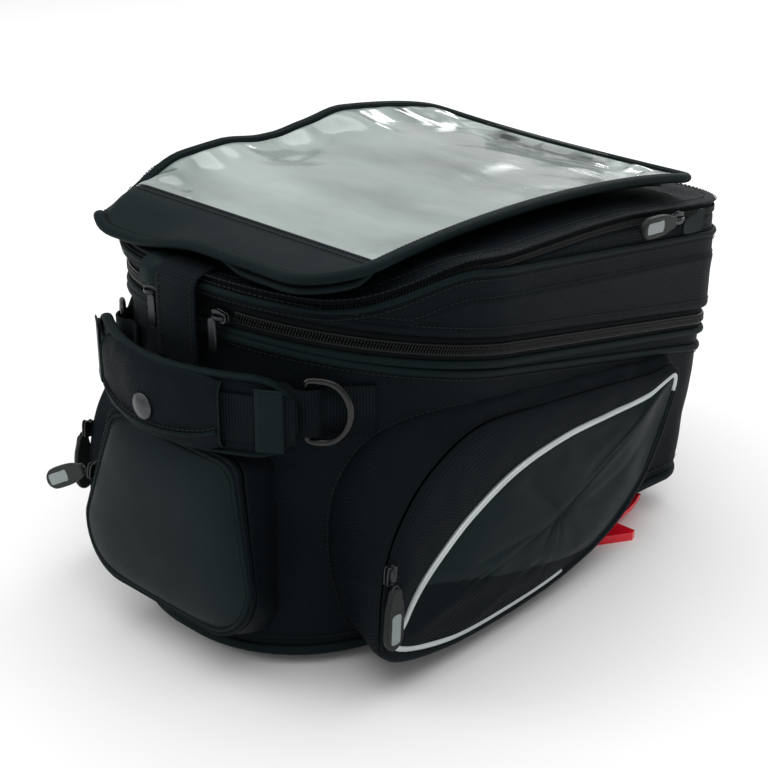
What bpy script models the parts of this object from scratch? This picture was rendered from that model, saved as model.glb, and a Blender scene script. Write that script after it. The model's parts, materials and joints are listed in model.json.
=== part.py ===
"""Motorcycle tank bag: an expandable soft bag with a hinged lid, a map pocket on top, a pocket on each
side, a pocket and a carrying handle at the rider's end, and a docking plate under the front.

+X is the bag's right side, -Y the rider's end, +Y the front, Z = 0 the surface that the base stands on.
Every length below is in millimetres; new_object() turns it into metres.
"""

import math
from collections import namedtuple

import bmesh
import bpy
from mathutils import Matrix, Vector

MM = 0.001
GAP = 0.35

# ---- driving dimensions -------------------------------------------------------------------------
# A plan is a rounded rectangle seen from above: the rear is the rider's end.
Plan = namedtuple("Plan", "half_rear half_front y_rear y_front r_rear r_front")
BASE_PLAN = Plan(100, 126, -204, 178, 92, 26)
ZIP_PLAN = Plan(141, 130, -188, 206, 126, 42)
RIM_GROW = 4.0
MAP_PLAN = Plan(118, 122, -187, 172, 42, 20)

FRONT_RISE = 19.0
RISE_FROM, RISE_RUN = 20.0, 66.0
ZIP_HEIGHT, ZIP_SLOPE = 190.0, 0.225
RIM_HEIGHT, RIM_SLOPE = 245.0, 0.165

TUB_WALL = 4.0
RIM_WALL = 3.5
SLEEVE_WALL = 1.5
EXPANSION = 45.0
LID_WALL = 3.0
LID_EDGE, LID_SHOULDER, LID_CLEAR = 4.0, 30.0, 4.8
MAP_BACK_INSET = 16.0

STRAP_WIDTH = 36.0
WEBBING = 30.0
HANDLE_HEIGHT = 182.0
HANDLE_Y = -180.0
HANDLE_HALF = 98.0
HANDLE_BOW = 42.0
PULLER_LENGTH, PULLER_WIDTH, PULLER_THICK = 40.0, 15.0, 4.5
PULLER = (PULLER_LENGTH, PULLER_WIDTH, PULLER_THICK)
METAL_PULL = 20.0
PLATE_THICK = 6.5
PAN_THICK = 3.0
BOARD_THICK = 2.2

RING_HEIGHT, RING_WIRE = 40.0, 2.2
RING_STRAIGHT = 10.0

POCKET_FACE = 143.0
SEAM_GAP = 3.4
ZIP_START = 38.0


# ---- curves that the shape is worked out from ---------------------------------------------------
def smooth(t):
    t = min(max(t, 0.0), 1.0)
    return t * t * (3 - 2 * t)


def lerp(a, b, t):
    return a + (b - a) * t


def grown(plan, by):
    """The plan offset outwards, or inwards where by is negative."""
    return Plan(
        plan.half_rear + by,
        plan.half_front + by,
        plan.y_rear - by,
        plan.y_front + by,
        max(plan.r_rear + by, 2.0),
        max(plan.r_front + by, 2.0),
    )


def mixed(a, b, t):
    return Plan(*(lerp(p, q, t) for p, q in zip(a, b)))


def base_z(y):
    """Underside of the bag: flat under the rider's end, raised over the dock at the front."""
    return FRONT_RISE * min(max((y - RISE_FROM) / RISE_RUN, 0.0), 1.0)


def zip_z(y):
    """Height of the expansion zip."""
    return ZIP_HEIGHT - ZIP_SLOPE * y


def rim_z(y):
    """Height of the piped rim line, which dips at the rider's end."""
    return RIM_HEIGHT - RIM_SLOPE * y - 29 * smooth((-y - 90) / 85)


def lid_z(y):
    """Height of the lid's zip, where the lid parts from the rim."""
    return rim_z(y) + 1 + 16 * smooth((y + 130) / 210)


def map_along(y):
    return min(max((y - MAP_PLAN.y_rear) / (MAP_PLAN.y_front - MAP_PLAN.y_rear), 0.0), 1.0)


def map_droop(x, y, near, left):
    """How far the map pocket hangs down along its near edge and at its near left corner."""
    near_edge = near * smooth((10 - x) / 70) * smooth((-155 - y) / 30)
    left_edge = left * smooth((-96 - x) / 20) * smooth((-92 - y) / 75)
    return near_edge + left_edge


def map_lift(x, y):
    """The waves of the map pocket's left side: low in the middle and raised towards the front."""
    leftness = min(max((122 - x) / 244, 0), 1) ** 3
    return leftness * (7 * smooth((y - 20) / 40) - 5 * smooth((y + 60) / 40) * smooth((30 - y) / 40))


def map_z(x, y):
    """Top layer of the map pocket, arched over the lid."""
    v = map_along(y)
    crown = lerp(22, 19, (x + 122) / 244) * math.sin(math.pi * v) ** 0.6
    return 266 - 14 * v + crown + map_lift(x, y) - map_droop(x, y, 10, 21)


def map_back_z(x, y):
    v = map_along(y)
    return 257.1 - 14 * v + 19 * math.sin(math.pi * v) ** 0.6 - map_droop(x, y, 7, 12.5)


def half_width(plan, y):
    """Half width of a plan at y."""
    low, high = plan.y_rear + plan.r_rear, plan.y_front - plan.r_front
    if y < low:
        return plan.half_rear - plan.r_rear + math.sqrt(max(plan.r_rear**2 - (low - y) ** 2, 0))
    if y > high:
        return plan.half_front - plan.r_front + math.sqrt(max(plan.r_front**2 - (y - high) ** 2, 0))
    return lerp(plan.half_rear, plan.half_front, (y - low) / (high - low))


def side_x(y, z):
    """X of the body's right side at y and z."""
    t = (z - base_z(y) - 3) / (zip_z(y) - base_z(y) - 3)
    return half_width(mixed(BASE_PLAN, ZIP_PLAN, min(max(t, 0), 1)), y)


def rear_edge(plan, x):
    """Y of a plan's rear edge at x."""
    over = max(abs(x) - (plan.half_rear - plan.r_rear), 0)
    return plan.y_rear + plan.r_rear - math.sqrt(max(plan.r_rear**2 - over**2, 0))


def rear_y(x, z):
    """Y of the body's rider's end at x and z."""
    t = (z - 3) / (zip_z(ZIP_PLAN.y_rear) - 3)
    return rear_edge(mixed(BASE_PLAN, ZIP_PLAN, min(max(t, 0), 1)), x)


def arc(cx, cy, r, start, end, steps):
    angles = [math.radians(lerp(start, end, i / steps)) for i in range(steps + 1)]
    return [(cx + r * math.cos(a), cy + r * math.sin(a)) for a in angles]


def outline(plan):
    """34 points counter-clockwise from the middle of the rear edge. Point i mirrors point 34 - i."""
    low, high = plan.y_rear + plan.r_rear, plan.y_front - plan.r_front
    right = [(0, plan.y_rear)]
    right += arc(plan.half_rear - plan.r_rear, low, plan.r_rear, -90, 0, 7)
    right += [(lerp(plan.half_rear, plan.half_front, t), lerp(low, high, t)) for t in (0.25, 0.5, 0.75)]
    right += arc(plan.half_front - plan.r_front, high, plan.r_front, 0, 90, 4)
    right += [(0, plan.y_front)]
    return right + [(-x, y) for x, y in reversed(right[1:-1])]


def level(plan, height):
    """The plan's outline as a loop of points at height(y)."""
    return [(x, y, height(y)) for x, y in outline(plan)]


def spline(keys, steps):
    """Closed smooth curve through the keys, with steps points for each of them."""
    n, points = len(keys), []
    for i in range(n):
        a, b, c, d = (Vector(keys[(i + k) % n]) for k in (-1, 0, 1, 2))
        for s in range(steps):
            t = s / steps
            curve = 2 * a - 5 * b + 4 * c - d + t * (3 * (b - c) + d - a)
            points.append(b + 0.5 * t * ((c - a) + t * curve))
    return points


# ---- making objects -----------------------------------------------------------------------------
def face_outwards(bm):
    bm.normal_update()
    bmesh.ops.recalc_face_normals(bm, faces=bm.faces)


def close_ends(bm):
    bmesh.ops.holes_fill(bm, edges=bm.edges)
    face_outwards(bm)


def clear_scene():
    for item in list(bpy.data.objects):
        bpy.data.objects.remove(item)


def material(name, colour, roughness, metallic=0.0, alpha=1.0):
    made = bpy.data.materials.new(name)
    made.use_nodes = True
    shader = made.node_tree.nodes["Principled BSDF"]
    shader.inputs["Base Color"].default_value = (*colour, 1.0)
    shader.inputs["Roughness"].default_value = roughness
    shader.inputs["Metallic"].default_value = metallic
    shader.inputs["Alpha"].default_value = alpha
    return made


def pivot(name, place, parent=None):
    """An empty on a joint's axis. The pieces that move with the joint are parented to it."""
    empty = bpy.data.objects.new(name, None)
    bpy.context.scene.collection.objects.link(empty)
    empty["place"] = place
    if parent:
        empty.parent = parent
    empty.location = (Vector(place) - Vector(parent["place"] if parent else (0, 0, 0))) * MM
    return empty


def new_object(name, bm, paint, parent):
    """Ends a mesh given in millimetres in the bag's frame, and parents it to its joint's pivot."""
    bmesh.ops.translate(bm, vec=-Vector(parent["place"]), verts=bm.verts)
    bmesh.ops.scale(bm, vec=(MM, MM, MM), verts=bm.verts)
    mesh = bpy.data.meshes.new(name)
    bm.to_mesh(mesh)
    bm.free()
    mesh.materials.append(paint)
    made = bpy.data.objects.new(name, mesh)
    bpy.context.scene.collection.objects.link(made)
    made.parent = parent
    return made


def skinned(loops, wrap=True, ring=False, caps=()):
    """Faces between loops of equal length. wrap closes each loop, ring joins the last loop to the
    first, and caps closes loop 0 or -1 with rungs between its mirrored points."""
    bm = bmesh.new()
    rows = [[bm.verts.new(p) for p in loop] for loop in loops]
    count = len(loops[0])
    for a, b in zip(rows, rows[1:] + ([rows[0]] if ring else [])):
        for i in range(count if wrap else count - 1):
            j = (i + 1) % count
            bm.faces.new((a[i], a[j], b[j], b[i]))
    for cap in caps:
        row = rows[cap]
        for i in range(count // 2):
            bm.faces.new(list(dict.fromkeys((row[i], row[i + 1], row[-i - 1], row[-i]))))
    face_outwards(bm)
    return bm


def shell(name, loops, wall, paint, parent, caps=(), wrap=True, facing=None):
    """A skin with a wall's thickness added behind it. A skin looks away from its own middle, or the
    way that facing gives."""
    bm = skinned(loops, wrap=wrap, caps=caps)
    bm.normal_update()
    middle = sum((v.co for v in bm.verts), Vector()) / len(bm.verts)
    looks = [Vector(facing) if facing else f.calc_center_median() - middle for f in bm.faces]
    if sum(f.normal.dot(look) * f.calc_area() for f, look in zip(bm.faces, looks)) < 0:
        bmesh.ops.reverse_faces(bm, faces=bm.faces)
    made = new_object(name, bm, paint, parent)
    solidify = made.modifiers.new("wall", "SOLIDIFY")
    solidify.thickness = wall * MM
    solidify.offset = -1
    return made


def sheet(name, plan, rows, columns, height, thick, paint, parent):
    """A curved sheet over a plan, in rows across it. height(x, y) is its upper face."""
    grid = []
    for y in rows:
        half = half_width(plan, y)
        across = [lerp(-half, half, i / columns) for i in range(columns + 1)]
        grid.append([(x, y, height(x, y)) for x in across])
    return shell(name, grid, thick, paint, parent, wrap=False, facing=(0, 0, 1))


def swept(name, path, frames, section, paint, parent, closed=True):
    """A bar along a path. frames gives each point's outward and upward directions, and section is a
    closed list of (outward, upward) offsets, or one such list for each point."""
    loops = []
    for i, (point, (out, up)) in enumerate(zip(path, frames)):
        corners = section[i] if isinstance(section[0][0], tuple) else section
        loops.append([Vector(point) + Vector(out) * o + Vector(up) * u for o, u in corners])
    bm = skinned(loops, ring=closed)
    if not closed:
        close_ends(bm)
    return new_object(name, bm, paint, parent)


def plan_frames(path, closed=True):
    """Outward directions along a path that runs counter-clockwise in plan, with Z as up."""
    count, frames = len(path), []
    for i in range(count):
        before = path[i - 1] if closed or i else path[i]
        after = path[(i + 1) % count] if closed or i < count - 1 else path[i]
        along = Vector((after[0] - before[0], after[1] - before[1], 0)).normalized()
        frames.append((Vector((along.y, -along.x, 0)), Vector((0, 0, 1))))
    return frames


def rectangle(out0, out1, up0, up1):
    return [(out0, up0), (out1, up0), (out1, up1), (out0, up1)]


def band(name, plan, height, section, paint, parent):
    """A closed strip that runs round a plan."""
    path = level(plan, height)
    return swept(name, path, plan_frames(path), section, paint, parent)


def block(name, centre, size, paint, parent, along=(0, 1, 0), normal=(1, 0, 0), bevel=1.0):
    """A bevelled box: size is its length along, its width and its thickness along normal."""
    along = Vector(along).normalized()
    normal = (Vector(normal) - along * Vector(normal).dot(along)).normalized()
    across = normal.cross(along)
    bm = bmesh.new()
    bmesh.ops.create_cube(bm, size=1.0)
    for v in bm.verts:
        length, width, thick = (c * s for c, s in zip(v.co, size))
        v.co = Vector(centre) + along * length + across * width + normal * thick
    face_outwards(bm)
    made = new_object(name, bm, paint, parent)
    if bevel:
        edge = made.modifiers.new("edge", "BEVEL")
        edge.width = bevel * MM
        edge.segments = 1
    return made


def prism(name, polygon, low, high, axis, paint, parent):
    """A polygon in the two other axes, extruded along axis from low to high."""
    bm = bmesh.new()
    order = {"X": lambda p: (low, *p), "Z": lambda p: (*p, low)}[axis]
    face = bm.faces.new([bm.verts.new(order(p)) for p in polygon])
    grown_part = bmesh.ops.extrude_face_region(bm, geom=[face])["geom"]
    move = Vector([high - low if a == axis else 0 for a in "XYZ"])
    bmesh.ops.translate(bm, vec=move, verts=[g for g in grown_part if isinstance(g, bmesh.types.BMVert)])
    face_outwards(bm)
    return new_object(name, bm, paint, parent)


def mirrored(side, point):
    """The point itself on the right side (+1), its mirror image on the left side (-1)."""
    return (side * point[0], *point[1:])


# ---- materials ----------------------------------------------------------------------------------
clear_scene()
WOVEN = material("ballistic_nylon", (0.020, 0.023, 0.026), 0.85)
SMOOTH = material("smooth_panel", (0.035, 0.042, 0.042), 0.6)
BINDING = material("edge_binding", (0.028, 0.034, 0.034), 0.75)
WEB = material("webbing", (0.018, 0.021, 0.023), 0.8)
COIL = material("zip_coil", (0.02, 0.02, 0.022), 0.4)
PIPING = material("reflective_piping", (0.55, 0.57, 0.57), 0.35)
WINDOW = material("clear_vinyl", (0.80, 0.86, 0.84), 0.15, alpha=0.45)
RUBBER = material("puller_rubber", (0.05, 0.055, 0.055), 0.6)
METAL = material("dark_metal", (0.10, 0.11, 0.11), 0.35, metallic=0.9)
RING = material("ring_plastic", (0.02, 0.02, 0.02), 0.2)
RED = material("red_plastic", (0.75, 0.01, 0.03), 0.25)
BLACK = material("base_plastic", (0.03, 0.03, 0.032), 0.5)

# ---- joints' pivots -----------------------------------------------------------------------------
LID_HINGE = (0, ZIP_PLAN.y_front + RIM_GROW + 1.5, lid_z(ZIP_PLAN.y_front) - 0.4)
MAP_HINGE = (0, MAP_PLAN.y_front + 2, map_back_z(0, MAP_PLAN.y_front) - 2.0)
HANDLE_HINGE = (0, HANDLE_Y, HANDLE_HEIGHT)

tub = pivot("tub", (0, 0, 0))
upper = pivot("upper_section", (0, 0, ZIP_HEIGHT), tub)
lid = pivot("lid", LID_HINGE, upper)
map_pocket = pivot("map_pocket", MAP_HINGE, lid)
handle = pivot("handle", HANDLE_HINGE, tub)


# ---- the bag's body -----------------------------------------------------------------------------
def body_loop(t, grow=0.0):
    """The body's outline at the fraction t of its height, between the base and the expansion zip."""
    plan = grown(mixed(BASE_PLAN, ZIP_PLAN, t), grow)
    return level(plan, lambda y: lerp(base_z(y) + PAN_THICK + GAP, zip_z(y) - 0.5, t))


def build_tub():
    rounded_foot = [body_loop(0, -10), body_loop(0.015, -3), body_loop(0.05)]
    walls = [body_loop(0.35), body_loop(0.7), body_loop(1)]
    shell("tub_shell", rounded_foot + walls, TUB_WALL, WOVEN, tub, caps=(0,))
    pan = grown(BASE_PLAN, -11)
    rows = [-193, -185, -165, -130, -60, RISE_FROM, RISE_FROM + RISE_RUN, 140, 152, 162, 167]
    sheet("base_pan", pan, rows, 2, lambda x, y: base_z(y) + PAN_THICK, PAN_THICK, BLACK, tub)
    board = Plan(84, 84, -160, 12, 60, 8)
    floor = PAN_THICK + TUB_WALL + 2 * GAP
    prism("base_board", outline(board), floor, floor + BOARD_THICK, "Z", BLACK, tub)
    below_zip = mixed(BASE_PLAN, ZIP_PLAN, 0.93)
    band("tub_welt", below_zip, lambda y: zip_z(y) - 15, rectangle(0.9, 3.4, -1.6, 1.6), BINDING, tub)


def zip_row(name, up0, up1, parent):
    """One row of the expansion zip, from one side of the closing strap right round to the other."""
    start = (ZIP_START, rear_edge(ZIP_PLAN, ZIP_START))
    plan_path = [start, *outline(ZIP_PLAN)[2:-1], (-start[0], start[1])]
    path = [(x, y, zip_z(y)) for x, y in plan_path]
    section = rectangle(0.5, 2.7, up0, up1)
    swept(name, path, plan_frames(path, closed=False), section, COIL, parent, closed=False)


def build_upper_section():
    rim = grown(ZIP_PLAN, RIM_GROW)
    loops = [
        level(ZIP_PLAN, lambda y: zip_z(y) + 0.5),
        level(ZIP_PLAN, lambda y: zip_z(y) + 4.5),
        level(grown(ZIP_PLAN, 2), lambda y: zip_z(y) + 9),
        level(rim, lambda y: lerp(zip_z(y), rim_z(y), 0.7)),
        level(rim, lambda y: lid_z(y) - 0.5),
    ]
    shell("rim_section", loops, RIM_WALL, WOVEN, upper)
    sleeve = grown(mixed(BASE_PLAN, ZIP_PLAN, 0.64), -TUB_WALL - 2.0)
    sleeve = sleeve._replace(y_rear=ZIP_PLAN.y_rear + TUB_WALL + 1.5)
    neck = grown(ZIP_PLAN, -RIM_WALL - 1.5)
    loops = [
        level(sleeve, lambda y: zip_z(y) - EXPANSION - 3),
        level(sleeve, lambda y: zip_z(y) - 9),
        level(neck, lambda y: zip_z(y) + 1),
        level(neck, lambda y: zip_z(y) + 9),
    ]
    shell("expansion_sleeve", loops, SLEEVE_WALL, WOVEN, upper)
    band("rim_piping", rim, rim_z, rectangle(GAP, 3.0, -1.6, 1.6), BINDING, upper)


def build_expansion_zip():
    zip_row("expansion_zip_lower", -3.4, -0.6, tub)
    zip_row("expansion_zip_upper", 0.9, 3.6, upper)
    for side, name in ((1, "right"), (-1, "left")):
        centre = mirrored(side, (31.5, ZIP_PLAN.y_rear - 5.1, zip_z(ZIP_PLAN.y_rear)))
        slide = pivot(f"expansion_slider_{name}_axis", centre, tub)
        faces = {"normal": (0, -1, 0)}
        size = (11, 8, 4)
        block(f"expansion_slider_{name}", centre, size, METAL, slide, along=(1, 0, 0), **faces)
        top = mirrored(side, (28, ZIP_PLAN.y_rear - 8.6, zip_z(ZIP_PLAN.y_rear) - 2))
        swing = pivot(f"expansion_pull_{name}_axis", top, slide)
        middle = (top[0], top[1], top[2] - METAL_PULL / 2)
        size = (METAL_PULL, 7, 2.0)
        block(f"expansion_pull_{name}", middle, size, METAL, swing, (0, 0, 1), bevel=0.6, **faces)


# ---- lid ----------------------------------------------------------------------------------------
LID_SLIDER = (half_width(ZIP_PLAN, 118) + 8.9, 118, lid_z(118))
# The lid's zip runs rearwards along the right side, which flares a little and climbs.
LID_RUN = (half_width(ZIP_PLAN, 0) / 100 - half_width(ZIP_PLAN, 100) / 100, -1, 0.098)


def build_lid():
    def top_loop(grow, lower=0.0):
        """A loop of the lid's top, which rises from the lid's edge to just under the map pocket."""
        rise = smooth(-grow / LID_SHOULDER)
        points = []
        for x, y in outline(grown(ZIP_PLAN, grow)):
            points.append((x, y, lerp(lid_z(y) + LID_EDGE, map_back_z(x, y) - LID_CLEAR, rise) - lower))
        return points

    rim = grown(ZIP_PLAN, RIM_GROW)
    loops = [level(rim, lambda y: lid_z(y) + 0.5), top_loop(3.6, 1.5), top_loop(0, 0.3)]
    loops += [top_loop(grow) for grow in (-10, -20, -30, -60, -95)]
    shell("lid_shell", loops, LID_WALL, WOVEN, lid, caps=(-1,))
    path = [(x, y, lid_z(y)) for x, y in outline(rim)[3:-2]]
    frames = plan_frames(path, closed=False)
    swept("lid_zip", path, frames, rectangle(GAP, 2.4, 0.8, 3.8), COIL, lid, closed=False)
    slide = pivot("lid_slider_axis", LID_SLIDER, upper)
    block("lid_zip_slider", LID_SLIDER, (13, 9, 4.5), METAL, slide, along=LID_RUN)
    hinge_at = (LID_SLIDER[0] + 3.6, LID_SLIDER[1] - 8, LID_SLIDER[2] + 0.8)
    swing = pivot("lid_puller_axis", hinge_at, slide)
    middle = Vector(hinge_at) + Vector(LID_RUN).normalized() * (PULLER_LENGTH / 2)
    block("lid_zip_puller", middle, PULLER, RUBBER, swing, along=LID_RUN, bevel=1.4)
    garage = (half_width(ZIP_PLAN, 141) + 9.1, 141, lid_z(141) - 4)
    block("lid_zip_garage", garage, (20, 15, 3.0), BINDING, upper, along=(0, 1, -0.165))


# ---- map pocket ---------------------------------------------------------------------------------
def build_map_pocket():
    inner = grown(MAP_PLAN, -6.5)
    near, far = inner.y_rear + GAP, inner.y_front - GAP
    seam = -150.5
    panel_rows = [lerp(near, seam, t) for t in (0, 0.06, 0.2, 0.45, 0.7, 1)]
    window_rows = [lerp(seam + GAP, far, t) for t in (0, 0.07, 0.16, 0.3, 0.5, 0.7, 0.84, 0.92, 0.965, 1)]
    sheet("map_front_panel", inner, panel_rows, 8, map_z, 2.2, SMOOTH, map_pocket)
    sheet("map_window", inner, window_rows, 8, map_z, 1.4, WINDOW, map_pocket)
    path = [(x, y, map_z(x, y)) for x, y in outline(MAP_PLAN)]
    swept("map_binding", path, plan_frames(path), rectangle(-6.0, 0.8, -3.6, 1.4), BINDING, map_pocket)
    back = grown(MAP_PLAN, -MAP_BACK_INSET)
    steps = (0, 0.03, 0.09, 0.18, 0.32, 0.5, 0.68, 0.82, 0.92, 0.97, 1)
    rows = [lerp(back.y_rear + 0.2, back.y_front - 0.2, t) for t in steps]
    sheet("map_back_panel", back, rows, 10, map_back_z, 1.6, WOVEN, map_pocket)
    patch = Plan(55, 55, 150, 161, 5, 5)
    rows = [150.3, 152, 155.5, 159, 160.7]
    sheet("map_patch", patch, rows, 6, lambda x, y: map_z(x, y) + 2.0, 1.4, SMOOTH, map_pocket)
    build_closure_strap()


def build_closure_strap():
    """The webbing sewn to the map pocket's near edge, which hangs down behind the handle."""
    top, drop, foot = map_z(STRAP_WIDTH / 2, MAP_PLAN.y_rear) - 1, -200.5, HANDLE_HEIGHT + 12
    edge = MAP_PLAN.y_rear - 0.8 - GAP
    outer = [(edge, top + 1.2), (drop + 6, top + 1.2), (drop - 1.3, top - 6), (drop - 1.3, foot)]
    inner_side = [(drop + 1.3, foot), (drop + 1.3, top - 7), (drop + 7, top - 1.4), (edge, top - 1.4)]
    half = STRAP_WIDTH / 2
    prism("closure_strap", outer + inner_side, -half, half, "X", WEB, map_pocket)


# ---- side pockets -------------------------------------------------------------------------------
# (y, z) of three loops with matching points: the seam on the body, the zip, and the piping.
# They start at the lower corner towards the rider and run up, forwards and back along the bottom.
POCKET_SEAM = [
    (-148, 26), (-158, 56), (-162, 90), (-159, 130), (-141, 163), (-102, 173), (-35, 164), (40, 151),
    (98, 140), (134, 132), (128, 96), (106, 54), (66, 24), (8, 9), (-60, 8), (-118, 12),
]  # fmt: skip
POCKET_ZIP = [
    (-166, 30), (-171, 58), (-167, 90), (-156, 116), (-130, 142), (-86, 158), (-25, 152), (45, 142),
    (96, 134), (130, 129), (120, 94), (97, 55), (58, 28), (4, 15), (-57, 12), (-120, 16),
]  # fmt: skip
POCKET_PIPE = [
    (-162, 38), (-154, 54), (-141, 70), (-120, 86), (-92, 102), (-50, 117), (0, 123), (50, 122),
    (95, 121), (125, 126), (111, 90), (88, 58), (49, 33), (1, 22), (-55, 19), (-114, 22),
]  # fmt: skip
POCKET_CENTRE = (-10, 70)
SLIDER_ARC_CENTRE = (-84, 74)
SLIDER_PLACE = (-168.5, 92)


def pocket_loop(keys, x_of, side):
    return [(side * x_of(p.x, p.y), p.x, p.y) for p in spline([Vector(k) for k in keys], 2)]


def toward_centre(keys, t):
    return [tuple(lerp(Vector(k), Vector(POCKET_CENTRE), t)) for k in keys]


def build_side_pocket(side, name):
    out = (side, 0, 0)
    seam = pocket_loop(POCKET_SEAM, lambda y, z: side_x(y, z) + SEAM_GAP, side)
    edge = pocket_loop(POCKET_ZIP, lambda y, z: POCKET_FACE - 4.3, side)
    shell(f"side_pocket_gusset_{name}", [seam, edge], 2.4, WOVEN, tub)
    keys = [tuple(lerp(Vector(a), Vector(b), 0.04)) for a, b in zip(POCKET_ZIP, POCKET_PIPE)]
    loops = [
        pocket_loop(keys, lambda y, z: POCKET_FACE - 0.4, side),
        pocket_loop(POCKET_PIPE, lambda y, z: POCKET_FACE + 1, side),
        pocket_loop(toward_centre(POCKET_PIPE, 0.15), lambda y, z: POCKET_FACE + 4, side),
        pocket_loop(toward_centre(POCKET_PIPE, 0.5), lambda y, z: POCKET_FACE + 7, side),
        pocket_loop(toward_centre(POCKET_PIPE, 0.85), lambda y, z: POCKET_FACE + 8, side),
    ]
    swing = pivot(f"side_pocket_{name}_axis", (side * (POCKET_FACE - 3.6), 0, 8), tub)
    shell(f"side_pocket_cover_{name}", loops, 3.0, SMOOTH, swing, caps=(-1,), facing=out)
    path = pocket_loop(POCKET_PIPE, lambda y, z: POCKET_FACE + 1, side)
    frames = []
    for i in range(len(path)):
        along = Vector(path[(i + 1) % len(path)]) - Vector(path[i - 1])
        frames.append((Vector(out), along.cross(Vector(out)).normalized()))
    swept(f"side_piping_{name}", path, frames, rectangle(1.6, 4.2, -1.5, 1.5), PIPING, swing)

    # The slider runs on an arc through the rear half of the zip.
    centre = (side * (POCKET_FACE + 1), *SLIDER_ARC_CENTRE)
    carrier = pivot(f"side_slider_{name}_axis", centre, swing)
    place = (side * (POCKET_FACE + 2.6), *SLIDER_PLACE)
    run = (0, SLIDER_PLACE[1] - SLIDER_ARC_CENTRE[1], SLIDER_ARC_CENTRE[0] - SLIDER_PLACE[0])
    block(f"side_zip_slider_{name}", place, (12, 8, 4.4), METAL, carrier, along=run, normal=out)
    top = (side * (POCKET_FACE + 7.9), SLIDER_PLACE[0] - 1, SLIDER_PLACE[1] - 8)
    hang = pivot(f"side_puller_{name}_axis", top, carrier)
    low = (top[0], top[1] - 1, top[2] - PULLER_LENGTH / 2)
    block(f"side_zip_puller_{name}", low, PULLER, RUBBER, hang, along=(0, 0.05, 1), normal=out, bevel=1.4)


# ---- rider-end pocket ---------------------------------------------------------------------------
# Plans in X and Z: "rear" is the lower edge of the pocket and "front" its upper edge.
REAR_SEAM = Plan(64, 64, 22, 150, 20, 14)
REAR_EDGE = Plan(82, 64, 34, 152.5, 38, 14)
REAR_PANEL = Plan(75, 56, 43, 146, 32, 16)
REAR_FOOT, REAR_LEAN = 14, 19 / 150


def rear_face(z):
    """Y of the pocket's zip at a height: the pocket is deepest at the bottom."""
    return -226 + (z - REAR_FOOT) * REAR_LEAN


def rear_loop(plan, y_of):
    return [(x, y_of(x, z), z) for x, z in outline(plan)]


def build_rear_pocket():
    back = (0, -1, 0)
    seam = rear_loop(REAR_SEAM, lambda x, z: rear_y(x, z) - SEAM_GAP - 0.5)
    edge = rear_loop(REAR_EDGE, lambda x, z: rear_face(z) + 4.8)
    shell("rear_pocket_gusset", [seam, edge], 2.4, WOVEN, tub)
    swing = pivot("rear_pocket_axis", (0, rear_face(REAR_EDGE.y_rear), REAR_EDGE.y_rear - 1), tub)
    loops = [
        rear_loop(grown(REAR_EDGE, -0.6), lambda x, z: rear_face(z) + 0.3),
        rear_loop(grown(REAR_EDGE, -3), lambda x, z: rear_face(z) - 1),
        rear_loop(REAR_PANEL, lambda x, z: rear_face(z) - 2),
        rear_loop(grown(REAR_PANEL, -5), lambda x, z: rear_face(z) - 6),
        rear_loop(grown(REAR_PANEL, -20), lambda x, z: rear_face(z) - 9),
        rear_loop(grown(REAR_PANEL, -44), lambda x, z: rear_face(z) - 10.5),
    ]
    shell("rear_pocket_cover", loops, 3.0, SMOOTH, swing, caps=(-1,), facing=back)
    place = (-half_width(REAR_EDGE, 100) - 4.1, rear_face(100) + 1, 100)
    slide = pivot("rear_slider_axis", place, tub)
    straight = REAR_EDGE.y_front - REAR_EDGE.r_front - REAR_EDGE.y_rear - REAR_EDGE.r_rear
    run = ((REAR_EDGE.half_rear - REAR_EDGE.half_front) / straight, REAR_LEAN, 1)
    block("rear_zip_slider", place, (12, 8, 4.4), METAL, slide, along=run, normal=(-1, 0, 0.1))
    top = (place[0] - 5.2, place[1] - 2, place[2])
    hang = pivot("rear_puller_axis", top, slide)
    away = Vector((-0.87, -0.1, -0.49)).normalized()
    middle = Vector(top) + away * (PULLER_LENGTH / 2 + 2.5)
    block("rear_zip_puller", middle, PULLER, RUBBER, hang, along=away, normal=(0, -1, 0), bevel=1.4)


# ---- carrying handle and rings ------------------------------------------------------------------
def handle_path(half, steps):
    """The handle's middle line, bowed away from the rider's end, from its right end to its left."""
    xs = [half * math.cos(math.pi * i / steps) for i in range(steps + 1)]
    bow = [abs(math.cos(math.pi * x / (2 * HANDLE_HALF))) ** 0.9 for x in xs]
    return [(x, HANDLE_HINGE[1] - HANDLE_BOW * b, HANDLE_HEIGHT) for x, b in zip(xs, bow)]


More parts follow.
